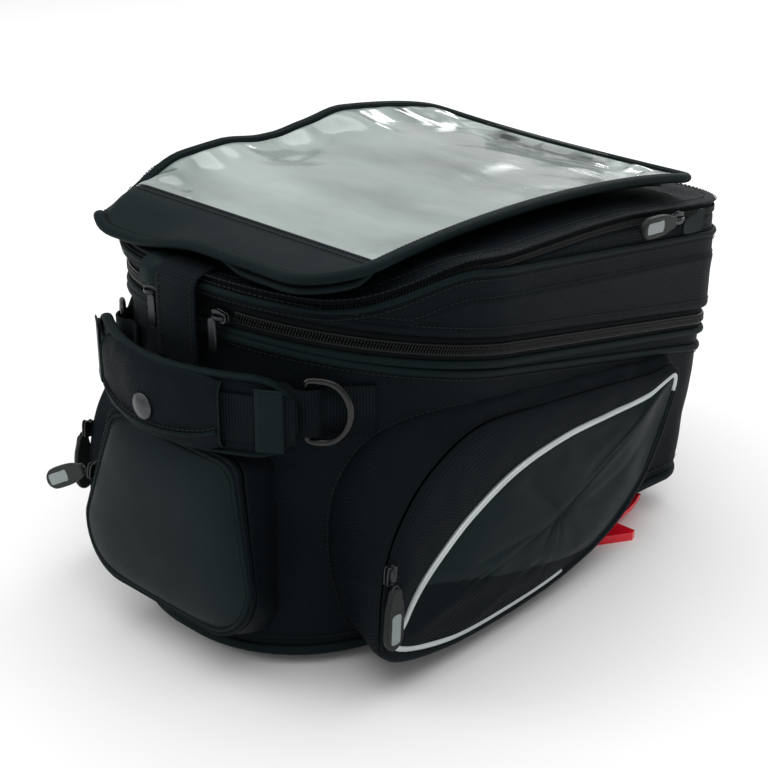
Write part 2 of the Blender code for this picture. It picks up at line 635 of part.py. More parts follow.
def build_handle():
    def frames_of(path):
        return [(-out, up) for out, up in plan_frames(path, closed=False)]

    pad = handle_path(87, 14)
    heights = [23 * math.sqrt(max(1 - (max(abs(x) - 68, 0) / 20) ** 2, 0.05)) for x, _, _ in pad]
    sections = [rectangle(-2.5, 2.5, -h, h) for h in heights]
    swept("handle_pad", pad, frames_of(pad), sections, WOVEN, handle, closed=False)
    strap = handle_path(88, 14)
    section = rectangle(2.9, 4.9, -WEBBING / 2, WEBBING / 2)
    swept("handle_webbing", strap, frames_of(strap), section, WEB, handle, closed=False)
    wrap = handle_path(57, 8)
    outer = rectangle(-5.8, 8.2, -26.5, 26.5)
    loops = [[Vector(p) + o * a + u * b for a, b in outer] for p, (o, u) in zip(wrap, frames_of(wrap))]
    shell("handle_wrap", loops, 2.6, WOVEN, handle)
    for side, name in ((1, "right"), (-1, "left")):
        keeper = [p for p in handle_path(HANDLE_HALF, 40) if 61 < side * p[0] < 85]
        section = rectangle(5.3, 6.8, -19.5, 19.5)
        swept(f"handle_keeper_{name}", keeper, frames_of(keeper), section, SMOOTH, handle, closed=False)
    front = HANDLE_HINGE[1] - HANDLE_BOW - 8.2 - GAP
    bm = bmesh.new()
    bmesh.ops.create_cone(bm, cap_ends=True, segments=16, radius1=8.5, radius2=6.0, depth=3.2)
    bmesh.ops.rotate(bm, verts=bm.verts, matrix=Matrix.Rotation(math.radians(90), 3, "X"))
    bmesh.ops.translate(bm, verts=bm.verts, vec=(0, front - 1.6, HANDLE_HEIGHT - 5))
    new_object("snap_button", bm, METAL, handle)


def build_ring(side, name):
    """A D-ring whose straight bar stands in a loop of webbing sewn to the rear corner of the bag."""
    plan = mixed(BASE_PLAN, ZIP_PLAN, (HANDLE_HEIGHT + WEBBING / 2) / zip_z(-150))
    centre_x, centre_y = plan.half_rear - plan.r_rear, plan.y_rear + plan.r_rear
    bar_angle = -57.0

    def corner(angle, out):
        """A point by its angle round the corner and its distance out from the wall."""
        a, r = math.radians(angle), plan.r_rear + out
        return mirrored(side, (centre_x + r * math.cos(a), centre_y + r * math.sin(a), HANDLE_HEIGHT))

    loop = [(-62, 3.2), (-59.5, 10.2), (bar_angle, 12.0), (-54.5, 10.2), (-52, 3.0)]
    path = [corner(angle, out) for angle, out in [(-68, 3.4), *loop, (-45, 2.2), (-38, 1.8)]]
    frames = plan_frames(path, closed=False)
    half = WEBBING / 2
    swept(f"ring_anchor_{name}", path, frames, rectangle(-0.8, 0.8, -half, half), WEB, tub, closed=False)
    bar = Vector(corner(bar_angle, 7.0))
    tip = Vector(corner(bar_angle + 21, 14.0))
    reach = (tip - bar).normalized()
    swing = pivot(f"ring_{name}_axis", bar, tub)
    half_ring = RING_HEIGHT / 2
    points = [(0, -half_ring), (RING_STRAIGHT, -half_ring)]
    for a in (math.pi * k / 10 for k in range(1, 10)):
        points.append((RING_STRAIGHT + half_ring * 0.85 * math.sin(a), -half_ring * math.cos(a)))
    points += [(RING_STRAIGHT, half_ring), (0, half_ring), (0, half_ring / 2), (0, -half_ring / 2)]
    curve = bpy.data.curves.new(f"d_ring_{name}", "CURVE")
    curve.dimensions = "3D"
    curve.bevel_depth = RING_WIRE * MM
    curve.bevel_resolution = 1
    line = curve.splines.new("POLY")
    line.points.add(len(points) - 1)
    for spot, (r, z) in zip(line.points, points):
        spot.co = (*((reach * r + Vector((0, 0, z))) * MM), 1)
    line.use_cyclic_u = True
    curve.materials.append(RING)
    ring = bpy.data.objects.new(f"d_ring_{name}", curve)
    bpy.context.scene.collection.objects.link(ring)
    ring.parent = swing


# ---- docking plate ------------------------------------------------------------------------------
def build_dock():
    right = [(60, 58), (106, 58), (118, 70), (136, 100), (135, 104)]
    plate = right + [(-x, y) for x, y in reversed(right)]
    prism("dock_plate", plate, 0, PLATE_THICK, "Z", RED, tub)
    low, half = PLATE_THICK + GAP, 72
    loops = []
    for y in (62, RISE_FROM + RISE_RUN, 101):
        high = base_z(y) - 1.2
        loops.append([(-half, y, low), (half, y, low), (half, y, high), (-half, y, high)])
    bm = skinned(loops)
    close_ends(bm)
    new_object("dock_housing", bm, BLACK, tub)
    lever = pivot("release_lever_axis", (0, 104, PLATE_THICK), tub)
    high = FRONT_RISE - 1.2
    underside = [(101.5, low), (112, low), (124, low + 2), (133, low + 7), (135, high)]
    profile = underside + [(132, high), (128, low + 7.5), (119, low + 4.2), (101.5, low + 3.4)]
    prism("release_lever", profile, -118, 118, "X", RED, lever)


build_tub()
build_upper_section()
build_expansion_zip()
build_lid()
build_map_pocket()
build_side_pocket(1, "right")
build_side_pocket(-1, "left")
build_rear_pocket()
build_handle()
build_ring(1, "right")
build_ring(-1, "left")
build_dock()
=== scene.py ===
"""The looks of the motorcycle tank bag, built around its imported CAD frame.

Lengths are in millimetres in the frame's axes (+X the bag's right, -Y the rider's end, +Z up), and
new_piece() turns them into metres. The plans and height curves are those of the CAD model.
"""

import json
import math
from collections import namedtuple

import bmesh
import bpy
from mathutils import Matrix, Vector, noise
from mathutils.bvhtree import BVHTree


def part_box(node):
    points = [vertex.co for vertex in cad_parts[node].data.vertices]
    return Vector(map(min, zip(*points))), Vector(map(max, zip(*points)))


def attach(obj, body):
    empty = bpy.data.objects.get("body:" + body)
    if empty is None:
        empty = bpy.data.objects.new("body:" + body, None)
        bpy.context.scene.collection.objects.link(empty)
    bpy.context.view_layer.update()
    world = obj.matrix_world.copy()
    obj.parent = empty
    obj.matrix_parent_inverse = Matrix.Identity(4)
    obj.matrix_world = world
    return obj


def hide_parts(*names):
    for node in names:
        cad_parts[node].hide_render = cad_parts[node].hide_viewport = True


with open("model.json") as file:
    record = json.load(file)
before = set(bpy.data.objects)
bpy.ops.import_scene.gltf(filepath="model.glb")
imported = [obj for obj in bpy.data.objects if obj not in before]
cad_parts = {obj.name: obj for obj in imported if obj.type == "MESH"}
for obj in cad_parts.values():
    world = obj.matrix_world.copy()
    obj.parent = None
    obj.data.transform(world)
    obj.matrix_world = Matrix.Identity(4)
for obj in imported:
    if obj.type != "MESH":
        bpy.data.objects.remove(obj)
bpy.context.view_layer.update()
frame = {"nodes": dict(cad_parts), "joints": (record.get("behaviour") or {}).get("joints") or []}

MM = 0.001


# ---- the CAD model's plans and curves -----------------------------------------------------------
Plan = namedtuple("Plan", "half_rear half_front y_rear y_front r_rear r_front")
BASE_PLAN = Plan(100, 126, -204, 178, 92, 26)
ZIP_PLAN = Plan(141, 130, -188, 206, 126, 42)
MAP_PLAN = Plan(118, 122, -187, 172, 42, 20)
MAP_SEAM, MAP_BACK_INSET = -150.5, 16.0
MAP_HALF = MAP_PLAN.half_front

FRONT_RISE = 19.0
RISE_FROM, RISE_RUN = 20.0, 66.0
PAN_THICK = 3.0
HANDLE_HEIGHT, HANDLE_HALF, HANDLE_BOW = 182.0, 98.0, 42.0
HANDLE_Y = -180.0
WEBBING = 30.0
POCKET_FACE = 143.0

# Points on the five stretches of half an outline: rear edge, rear corner, side, front corner, front edge.
STRETCHES = (3, 34, 30, 12, 12)
MAP_STRETCHES = (16, 12, 48, 6, 16)


def unit(t):
    return min(max(t, 0.0), 1.0)


def smooth(t):
    t = unit(t)
    return t * t * (3 - 2 * t)


def lerp(a, b, t):
    return a + (b - a) * t


def spread(a, b, steps):
    return [lerp(a, b, i / steps) for i in range(steps + 1)]


def bump(x, centre, width):
    """A round hump of height 1 at centre that reaches 0 at width either side."""
    d = abs(x - centre) / width
    return (1 - d * d) ** 2 if d < 1 else 0.0


def grown(plan, by):
    return Plan(plan.half_rear + by, plan.half_front + by, plan.y_rear - by, plan.y_front + by,
                max(plan.r_rear + by, 2.0), max(plan.r_front + by, 2.0))


def mixed(a, b, t):
    return Plan(*(lerp(p, q, t) for p, q in zip(a, b)))


def body_plan(t):
    """The body's outline at t of the way up from the base pan to the expansion zip."""
    return mixed(BASE_PLAN, ZIP_PLAN, unit(t))


def base_z(y):
    return FRONT_RISE * unit((y - RISE_FROM) / RISE_RUN)


def zip_z(y):
    return 190 - 0.225 * y


def rim_z(y):
    return 245 - 0.165 * y - 29 * smooth((-y - 90) / 85)


def lid_z(y):
    return rim_z(y) + 1 + 16 * smooth((y + 130) / 210)


def map_droop(x, y, near, left):
    """How far the map pocket hangs down along its near edge and at its near left corner."""
    near_edge = near * smooth((10 - x) / 70) * smooth((-155 - y) / 30)
    left_edge = left * smooth((-96 - x) / 20) * smooth((-92 - y) / 75)
    return near_edge + left_edge


def map_lift(x, y):
    """The waves of the map pocket's left side: low in the middle and raised towards the front."""
    leftness = unit((MAP_HALF - x) / (2 * MAP_HALF)) ** 3
    return leftness * (7 * smooth((y - 20) / 40) - 5 * smooth((y + 60) / 40) * smooth((30 - y) / 40))


def map_arch(y):
    """How far along the map pocket y is, and how much the pocket is arched there."""
    v = unit((y - MAP_PLAN.y_rear) / (MAP_PLAN.y_front - MAP_PLAN.y_rear))
    return v, math.sin(math.pi * v) ** 0.6


def map_z(x, y):
    v, arch = map_arch(y)
    height = 266 - 14 * v + lerp(22, 19, (x + MAP_HALF) / (2 * MAP_HALF)) * arch
    return height + map_lift(x, y) - map_droop(x, y, 10, 21)


def map_back_z(x, y):
    v, arch = map_arch(y)
    return 257.1 - 14 * v + 19 * arch - map_droop(x, y, 7, 12.5)


def half_width(plan, y):
    low, high = plan.y_rear + plan.r_rear, plan.y_front - plan.r_front
    if y < low:
        return plan.half_rear - plan.r_rear + math.sqrt(max(plan.r_rear**2 - (low - y) ** 2, 0))
    if y > high:
        return plan.half_front - plan.r_front + math.sqrt(max(plan.r_front**2 - (y - high) ** 2, 0))
    return lerp(plan.half_rear, plan.half_front, (y - low) / (high - low))


def side_x(y, z):
    t = (z - base_z(y) - PAN_THICK) / (zip_z(y) - base_z(y) - PAN_THICK)
    return half_width(body_plan(t), y)


def rear_y(x, z):
    plan = body_plan((z - PAN_THICK) / (zip_z(ZIP_PLAN.y_rear) - PAN_THICK))
    over = max(abs(x) - (plan.half_rear - plan.r_rear), 0)
    return plan.y_rear + plan.r_rear - math.sqrt(max(plan.r_rear**2 - over**2, 0))


def arc(cx, cy, r, start, end, steps):
    angles = spread(math.radians(start), math.radians(end), steps)
    return [(cx + r * math.cos(a), cy + r * math.sin(a)) for a in angles]


def turn(steps):
    return [2 * math.pi * k / steps for k in range(steps)]


def outline(plan, stretches=STRETCHES):
    """Counter-clockwise from the middle of the rear edge, seen from above."""
    low, high = plan.y_rear + plan.r_rear, plan.y_front - plan.r_front
    rear, corner, side, nose, front = stretches
    right = [(x, plan.y_rear) for x in spread(0, plan.half_rear - plan.r_rear, rear)][:-1]
    right += arc(plan.half_rear - plan.r_rear, low, plan.r_rear, -90, 0, corner)[:-1]
    right += list(zip(spread(plan.half_rear, plan.half_front, side), spread(low, high, side)))[:-1]
    right += arc(plan.half_front - plan.r_front, high, plan.r_front, 0, 90, nose)[:-1]
    right += [(x, plan.y_front) for x in spread(plan.half_front - plan.r_front, 0, front)]
    return right + [(-x, y) for x, y in reversed(right[1:-1])]


def spline(keys, steps, closed=True):
    """Smooth curve through the keys, with steps points for each span."""
    n = len(keys)
    last = n if closed else n - 1

    def key(i):
        return Vector(keys[i % n] if closed else keys[min(max(i, 0), n - 1)])

    points = []
    for i in range(last):
        a, b, c, d = key(i - 1), key(i), key(i + 1), key(i + 2)
        for s in range(steps):
            t = s / steps
            bend = (c - a) + t * (2 * a - 5 * b + 4 * c - d + t * (3 * (b - c) + d - a))
            points.append(b + 0.5 * t * bend)
    return points if closed else points + [key(n - 1)]


# ---- making pieces ------------------------------------------------------------------------------
def linked(name, data):
    """A new object of the scene that shows the data."""
    made = bpy.data.objects.new(name, data)
    bpy.context.scene.collection.objects.link(made)
    return made


def new_piece(name, points, faces, look, body, uvs=None, replaces=(), wall=0.0, subdivide=0):
    """A mesh piece from points in millimetres. look is a (material, slot) pair, and uvs has one pair
    in millimetres for each face corner. The slot in look is not used."""
    mesh = bpy.data.meshes.new(name)
    mesh.from_pydata([Vector(p) * MM for p in points], [], faces)
    if uvs:
        layer = mesh.uv_layers.new(name="cloth")
        for corner, uv in zip(layer.data, uvs):
            corner.uv = (uv[0] * MM, uv[1] * MM)
    mesh.shade_smooth()
    mesh.materials.append(look[0])
    made = linked(name, mesh)
    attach(made, body)
    if replaces:
        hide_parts(*replaces)
    finish_modifiers(made, wall, subdivide)
    return made


def finish_modifiers(made, wall, subdivide):
    if wall:
        solid = made.modifiers.new("wall", "SOLIDIFY")
        solid.thickness = wall * MM
        solid.offset = -1
        solid.use_rim = True
    if subdivide:
        finer = made.modifiers.new("finer", "SUBSURF")
        finer.levels = subdivide
        finer.render_levels = subdivide


def loft(name, rows, look, body, wrap=True, ring=False, cap=None, flip=False, fan=None, flat_uv=None,
         **options):
    """A surface through rows of points of equal count. wrap closes each row, and ring joins the last
    row to the first. cap, 0 or -1, closes that row with rungs between its mirrored points; fan is a
    point that closes the last row instead. flat_uv takes a point to its place on the flat cloth."""
    count = len(rows[0])
    points = [p for row in rows for p in row]
    spans = rows[1:] + ([rows[0]] if ring else [])
    middle = rows[len(rows) // 2]
    across, along = [0.0], [0.0]
    for a, b in zip(rows, spans):
        across.append(across[-1] + sum((Vector(p) - Vector(q)).length for p, q in zip(a, b)) / count)
    for i in range(count):
        along.append(along[-1] + (Vector(middle[(i + 1) % count]) - Vector(middle[i])).length)
    faces, uvs = [], []

    def add_face(corners, places, turned_over):
        step = -1 if turned_over else 1
        faces.append(corners[::step])
        uvs.extend(places[::step])

    for r in range(len(spans)):
        low, high = r * count, ((r + 1) % len(rows)) * count
        for i in range(count if wrap else count - 1):
            j = (i + 1) % count
            grid = ((i, r), (i + 1, r), (i + 1, r + 1), (i, r + 1))
            places = [(along[u], across[v]) for u, v in grid]
            add_face([low + i, low + j, high + j, high + i], places, flip)
    last = (len(rows) - 1) * count
    if cap is not None:
        start = last if cap == -1 else 0
        for i in range(count // 2):
            rung = list(dict.fromkeys((i, i + 1, (count - i - 1) % count, (count - i) % count)))
            places = [(rows[cap][k][0], rows[cap][k][1]) for k in rung]
            add_face([start + k for k in rung], places, (cap == 0) != flip)
    if fan is not None:
        for i in range(count):
            add_face([last + i, last + (i + 1) % count, len(points)], [(0.0, 0.0)] * 3, flip)
        points.append(fan)
    if flat_uv:
        uvs = [flat_uv(points[k]) for face in faces for k in face]
    return new_piece(name, points, faces, look, body, uvs=uvs, **options)


def steps_along(path, closed=True):
    """From the point before each one to the point after it. An open path's ends stand for both."""
    count, found = len(path), []
    for i in range(count):
        before = path[i - 1] if closed or i else path[i]
        after = path[(i + 1) % count] if closed or i < count - 1 else path[i]
        found.append(Vector(after) - Vector(before))
    return found


def tangents(path, closed=True):
    return [step.normalized() for step in steps_along(path, closed)]


def outward(path, closed=True):
    """Outward directions, level with the ground, along a path that runs counter-clockwise."""
    return [Vector((step.y, -step.x, 0)).normalized() for step in steps_along(path, closed)]


def directions(outs, path, closed):
    """outs may be a list, one direction for the whole path, or None for outward from the bag."""
    if outs is None:
        return outward(path, closed)
    return [outs] * len(path) if isinstance(outs, Vector) else outs


def sweep(name, path, section, look, body, outs=None, closed=True, **options):
    """A bar along a path. section is a closed list of (outward, sideways) offsets."""
    rows = []
    for point, out, along in zip(path, directions(outs, path, closed), tangents(path, closed)):
        out = (out - along * out.dot(along)).normalized()
        side = along.cross(out)
        rows.append([Vector(point) + out * o + side * s for o, s in section])
    made = loft(name, rows, look, body, ring=closed, **options)
    face_out(made, fill=not closed)
    return made


def face_out(made, fill=True):
    """Turns a piece's faces outwards, after closing its open ends."""
    mesh = bmesh.new()
    mesh.from_mesh(made.data)
    if fill:
        bmesh.ops.holes_fill(mesh, edges=mesh.edges)
    mesh.normal_update()
    bmesh.ops.recalc_face_normals(mesh, faces=mesh.faces)
    mesh.to_mesh(made.data)
    mesh.free()


def oval(out, side, steps=10, shift=0.0):
    return [(shift + out * math.cos(a), side * math.sin(a)) for a in turn(steps)]


def walk(path, step, closed=True):
    """Points at even steps along a path, each with the index of the span that it lies on."""
    spans = list(zip(path, path[1:] + path[:1])) if closed else list(zip(path, path[1:]))
    found, left = [], step / 2
    for i, (a, b) in enumerate(spans):
        a, b = Vector(a), Vector(b)
        length = (b - a).length
        while left < length:
            found.append((a.lerp(b, left / length), (b - a).normalized(), i))
            left += step
        left -= length
    return found


# Where the rings of a grain lie along it, and how full each is.
GRAIN_RINGS = ((-1, 0.35), (-0.6, 1), (0.6, 1), (1, 0.35))
GRAIN_SIDES = 6
STITCH, STITCH_LIFT = (2.7, 0.75, 0.6), 0.15


def grains(name, places, size, look, body):
    """Many small rounded grains in one piece, such as stitches or zip teeth. places has a centre, a
    long direction and an outward direction for each, and size its length, width and thickness."""
    length, width, thick = (s / 2 for s in size)
    sides, tip = GRAIN_SIDES, (len(GRAIN_RINGS) - 1) * GRAIN_SIDES
    points, faces = [], []
    for centre, along, out in places:
        along = along.normalized()
        out = (out - along * out.dot(along)).normalized()
        across = along.cross(out)
        start = len(points)
        for at, full in GRAIN_RINGS:
            for a in turn(sides):
                ring = across * width * full * math.cos(a) + out * thick * full * math.sin(a)
                points.append(centre + along * length * at + ring)
        for low in range(start, start + tip, sides):
            for k in range(sides):
                j = (k + 1) % sides
                faces.append((low + k, low + sides + k, low + sides + j, low + j))
        faces.append([start + k for k in range(sides)])
        faces.append([start + tip + k for k in reversed(range(sides))])
    return new_piece(name, points, faces, look, body)


def stitched(name, path, body, outs=None, closed=True, pitch=3.6):
    """A line of stitches along a path that lies on a surface."""
    outs = directions(outs, path, closed)
    places = [(p + outs[i] * STITCH_LIFT, d, outs[i]) for p, d, i in walk(path, pitch, closed)]
    grains(name, places, STITCH, THREAD, body)


def settled(made, pinned, pressure=0.0, growth=0.0, frames=14, cap=6.0, stiffness=12.0, gravity=0.0):
    """Lets Blender's cloth puff up and wrinkle a piece. pinned(point in mm) says what stays put.
    growth is how much larger than its outline the cloth is cut, and cap the most that it may move."""
    wall = sum(m.thickness for m in made.modifiers if m.type == "SOLIDIFY")
    levels = sum(m.levels for m in made.modifiers if m.type == "SUBSURF")
    made.modifiers.clear()
    group = made.vertex_groups.new(name="pin")
    for v in made.data.vertices:
        hold = pinned(v.co / MM)
        if hold:
            group.add([v.index], float(hold), "REPLACE")
    cloth = made.modifiers.new("cloth", "CLOTH")
    values = {
        "vertex_group_mass": "pin", "quality": 6, "mass": 0.25, "tension_stiffness": stiffness,
        "compression_stiffness": stiffness, "shear_stiffness": stiffness / 2, "bending_stiffness": 0.4,
        "shrink_min": -growth, "use_pressure": pressure != 0, "uniform_pressure_force": pressure,
    }
    for key, value in values.items():
        setattr(cloth.settings, key, value)
    cloth.settings.effector_weights.gravity = gravity
    cloth.collision_settings.use_collision = False
    scene = bpy.context.scene
    cloth.point_cache.frame_start, cloth.point_cache.frame_end = 1, frames
    for number in range(1, frames + 1):
        scene.frame_set(number)
    moved = made.evaluated_get(bpy.context.evaluated_depsgraph_get())
    places = [v.co.copy() for v in moved.data.vertices]
    made.modifiers.clear()
    made.vertex_groups.clear()
    scene.frame_set(1)
    for v, place in zip(made.data.vertices, places):
        step = place - v.co
        if step.length > cap * MM:
            step *= cap * MM / step.length
        v.co += step
    finish_modifiers(made, wall / MM, levels)


# ---- materials ----------------------------------------------------------------------------------
COOL = (0.62, 0.90, 1.0, 1.0)
WEAVE_PERIOD, WEAVE_DEPTH = 0.0013, 0.00035


def material(name, colour, roughness, metallic=0.0, **sockets):
    made = bpy.data.materials.new(name)
    made.use_nodes = True
    shader = made.node_tree.nodes["Principled BSDF"]
    shader.inputs["Base Color"].default_value = (*colour, 1.0)
    shader.inputs["Roughness"].default_value = roughness
    shader.inputs["Metallic"].default_value = metallic
    for socket, value in sockets.items():
        shader.inputs[socket.replace("_", " ")].default_value = value
    return made


class Graph:
    """Shorthand for wiring one material's nodes."""

    def __init__(self, made):
        self.tree = made.node_tree
        self.shader = self.tree.nodes["Principled BSDF"]

    def node(self, kind, **values):
        made = self.tree.nodes.new("ShaderNode" + kind)
        for name, value in values.items():
            setattr(made, name, value)
        return made

    def link(self, source, target):
        self.tree.links.new(source, target)

    def drive(self, socket, source):
        """Links a value to one of the shader's inputs."""
        self.link(source, self.shader.inputs[socket])

    def maths(self, operation, *inputs):
        made = self.node("Math", operation=operation)
        for socket, value in zip(made.inputs, inputs):
            if isinstance(value, (int, float)):
                socket.default_value = value
            else:
                self.link(value, socket)
        return made.outputs[0]

    def times(self, a, b):
        return self.maths("MULTIPLY", a, b)

    def plus(self, a, b):
        return self.maths("ADD", a, b)

    def wave(self, count):
        """A row of round ridges, one for each unit of count."""
        return self.maths("ABSOLUTE", self.maths("SINE", self.times(count, math.pi)))

    def cloth_grid(self, period):
        """The cloth's own coordinates counted in yarns."""
        split = self.node("SeparateXYZ")
        self.link(self.node("UVMap", uv_map="cloth").outputs["UV"], split.inputs["Vector"])
        return [self.maths("DIVIDE", split.outputs[axis], period) for axis in "XY"]

    def noise(self, scale, detail=3.0, stretch=(1, 1, 1), source="Object"):
        place = self.node("TexCoord")
        mapping = self.node("Mapping")
        mapping.inputs["Scale"].default_value = stretch
        self.link(place.outputs[source], mapping.inputs["Vector"])
        made = self.node("TexNoise")
        made.inputs["Scale"].default_value = scale
        made.inputs["Detail"].default_value = detail
        self.link(mapping.outputs[0], made.inputs["Vector"])
        return made.outputs["Fac"]

    def between(self, fac, low, high):
        """A number that runs from low to high as fac runs from 0 to 1."""
        made = self.node("MapRange")
        made.inputs["To Min"].default_value = low
        made.inputs["To Max"].default_value = high
        self.link(fac, made.inputs["Value"])
        return made.outputs["Result"]

    def colours(self, fac, stops):
        made = self.node("ValToRGB")
        ramp = made.color_ramp
        while len(ramp.elements) < len(stops):
            ramp.elements.new(0.5)
        for element, (at, colour) in zip(ramp.elements, stops):
            element.position = at
            element.color = (*colour, 1.0)
        self.link(fac, made.inputs["Fac"])
        return made.outputs["Color"]

    def shade(self, fac, colour, *stops):
        """Drives the base colour by fac. Each stop is a place and what colour is multiplied by there."""
        ramp = [(at, tuple(min(c * by, 1.0) for c in colour)) for at, by in stops]
        self.drive("Base Color", self.colours(fac, ramp))

    def relief(self, height, depth, strength=1.0, under=None):
        made = self.node("Bump")
        made.inputs["Strength"].default_value = strength
        made.inputs["Distance"].default_value = depth
        self.link(height, made.inputs["Height"])
        if under:
            self.link(under, made.inputs["Normal"])
        return made.outputs["Normal"]


def woven_material(name, colour):
    """Square-woven cloth: yarns that go over and under each other in turn."""
    made = material(name, colour, 0.62, Specular_IOR_Level=0.06, Specular_Tint=COOL)
    g = Graph(made)
    u, v = g.cloth_grid(WEAVE_PERIOD)
    over = g.maths("PINGPONG", g.plus(g.maths("FLOOR", u), g.maths("FLOOR", v)), 1.0)
    yarn = g.plus(g.times(over, g.wave(u)), g.times(g.maths("SUBTRACT", 1.0, over), g.wave(v)))
    # Painted shade and sheen: the colour is darker in the low gaps between yarns and lighter on their
    # crowns. The two noises on top are tone that differs at random.
    painted_shade_and_tone = g.times(g.between(yarn, 0.35, 1.0), g.between(g.noise(14.0, 4.0), 0.75, 1.2))
    painted_shade_and_tone = g.times(painted_shade_and_tone, g.between(g.noise(900.0, 2.0), 0.8, 1.15))
    g.shade(painted_shade_and_tone, colour, (0.0, 0.25), (0.55, 1), (1.0, 1.9))
    g.drive("Roughness", g.between(yarn, 0.8, 0.5))
    g.drive("Normal", g.relief(yarn, WEAVE_DEPTH, 0.8, g.relief(g.noise(160.0, 3.0), 0.0004, 0.35)))
    return made


def coated_material(name, colour, rough=0.5):
    made = material(name, colour, rough, Specular_IOR_Level=0.11, Specular_Tint=COOL)
    g = Graph(made)
    g.shade(g.noise(9.0, 4.0), colour, (0.25, 0.86), (0.5, 1), (0.8, 1.14))
    g.drive("Roughness", g.between(g.noise(40.0, 5.0), rough - 0.1, rough + 0.12))
    broad = g.relief(g.noise(55.0, 3.0), 0.0006, 0.25)
    g.drive("Normal", g.relief(g.noise(2600.0, 3.0), 0.00008, 0.5, broad))
    return made


def ribbed_material(name, colour, period, depth, rough=0.6, lofted=False):
    """Tape or webbing: ribs across its length, each made of slanting yarns. A swept piece has its
    length in V and a lofted one in U."""
    made = material(name, colour, rough, Specular_IOR_Level=0.07, Specular_Tint=COOL)
    g = Graph(made)
    u, v = g.cloth_grid(period)
    along, across = (u, v) if lofted else (v, u)
    yarn = g.wave(g.plus(across, g.times(along, 0.5)))
    height = g.plus(g.times(g.wave(along), 0.7), g.times(yarn, 0.3))
    # Painted shade and sheen: the colour is darker in the grooves between ribs and lighter on their tops.
    # The noise on top is tone that differs at random.
    painted_shade_and_tone = g.times(g.between(height, 0.3, 1.0), g.between(g.noise(30.0, 3.0), 0.8, 1.15))
    g.shade(painted_shade_and_tone, colour, (0.0, 0.3), (0.6, 1), (1.0, 2.0))
    g.drive("Normal", g.relief(height, depth, 0.9))
    return made


def vinyl_material():
    coat = {"Coat_Weight": 1.0, "Coat_Roughness": 0.12}
    made = material("clear_vinyl", (0.30, 0.36, 0.34), 0.22, Alpha=0.96, **coat)
    g = Graph(made)
    # Painted light and shade: long soft streaks, lighter and darker, that stand for the play of light over
    # the vinyl's waves.
    painted_light_and_shade = [(0.3, (0.15, 0.19, 0.18)), (0.5, (0.28, 0.34, 0.32)), (0.72, (0.40, 0.47, 0.44))]
    g.drive("Base Color", g.colours(g.noise(7.0, 3.0, stretch=(1.0, 2.2, 1.0)), painted_light_and_shade))
    g.drive("Normal", g.relief(g.noise(28.0, 2.0, stretch=(1.0, 2.4, 1.0)), 0.0035, 0.35))
    return made


def moulded_material(name, colour, rough, grain=0.0, metallic=0.0, **sockets):
    """Moulded or plated parts: fine grain, and roughness that varies with handling."""
    made = material(name, colour, rough, metallic, **sockets)
    g = Graph(made)
    g.drive("Roughness", g.between(g.noise(60.0, 5.0), max(rough - 0.07, 0.03), rough + 0.1))
    g.shade(g.noise(25.0, 3.0), colour, (0.3, 0.9), (0.7, 1.1))
    if grain:
        g.drive("Normal", g.relief(g.noise(1400.0, 2.0), grain, 0.6))
    return made


# Each look is a material and the name of its slot. LINING goes on a CAD node, which has its own slot.
WOVEN = (woven_material("ballistic_nylon", (0.0030, 0.0043, 0.0054)), "woven_nylon")
PANEL = (coated_material("smooth_panel", (0.0042, 0.0078, 0.0082)), "smooth_panel")
BINDING = (ribbed_material("edge_binding", (0.0040, 0.0068, 0.0072), 0.0011, 0.00018), "edge_binding")
WEB = (ribbed_material("webbing", (0.0032, 0.0043, 0.0052), 0.0019, 0.0005), "webbing")
TAPE = (ribbed_material("zip_tape", (0.0034, 0.0040, 0.0044), 0.0009, 0.00015, 0.75, True), "zip_coil")
COIL = (moulded_material("zip_coil", (0.0045, 0.0050, 0.0055), 0.34, Specular_IOR_Level=0.2), "zip_coil")
SILVER = (moulded_material("reflective_piping", (0.50, 0.54, 0.54), 0.34, 0.00005, 0.35),
          "reflective_piping")
VINYL = (vinyl_material(), "clear_vinyl")
RUBBER = (moulded_material("puller_rubber", (0.010, 0.013, 0.013), 0.5, 0.00006, Specular_IOR_Level=0.2),
          "puller_rubber")
LABEL = (moulded_material("puller_inset", (0.20, 0.23, 0.23), 0.42, 0.00004), "puller_rubber")
METAL = (moulded_material("dark_metal", (0.035, 0.038, 0.040), 0.30, 0.0, 0.9), "dark_metal")
CAP = (moulded_material("snap_metal", (0.06, 0.066, 0.066), 0.34, 0.0, 0.9), "dark_metal")
GLOSS = (moulded_material("ring_plastic", (0.003, 0.003, 0.0034), 0.2, Specular_IOR_Level=0.4),
         "ring_plastic")
RED = (moulded_material("red_plastic", (0.78, 0.006, 0.022), 0.24, 0.00003, Coat_Weight=0.3), "red_plastic")
BLACK = (moulded_material("base_plastic", (0.006, 0.006, 0.007), 0.5, 0.00015, Specular_IOR_Level=0.2),
         "base_plastic")
THREAD = (moulded_material("thread", (0.010, 0.013, 0.013), 0.6, Specular_IOR_Level=0.15), "edge_binding")
LINING = (coated_material("sleeve_fabric", (0.0045, 0.0055, 0.0060), 0.7), None)

KEPT = {"base_pan": BLACK, "base_board": BLACK, "dock_plate": RED, "dock_housing": BLACK,
        "release_lever": RED, "expansion_sleeve": LINING}
for node_name, kept_look in KEPT.items():
    kept_slots = frame["nodes"][node_name].data.materials
    kept_slots.clear()
    kept_slots.append(kept_look[0])


UP, RIGHT, BACK = Vector((0, 0, 1)), Vector((1, 0, 0)), Vector((0, -1, 0))


def crumple(point, size, strength):
    """A small smooth displacement that changes over about size millimetres."""
    return strength * noise.noise(Vector(point) / size)


def above(curve, by):
    """The height curve that lies by millimetres over another."""
    return lambda y: curve(y) + by


def offset(points, outs, by):
    return [p + n * by for p, n in zip(points, outs)]


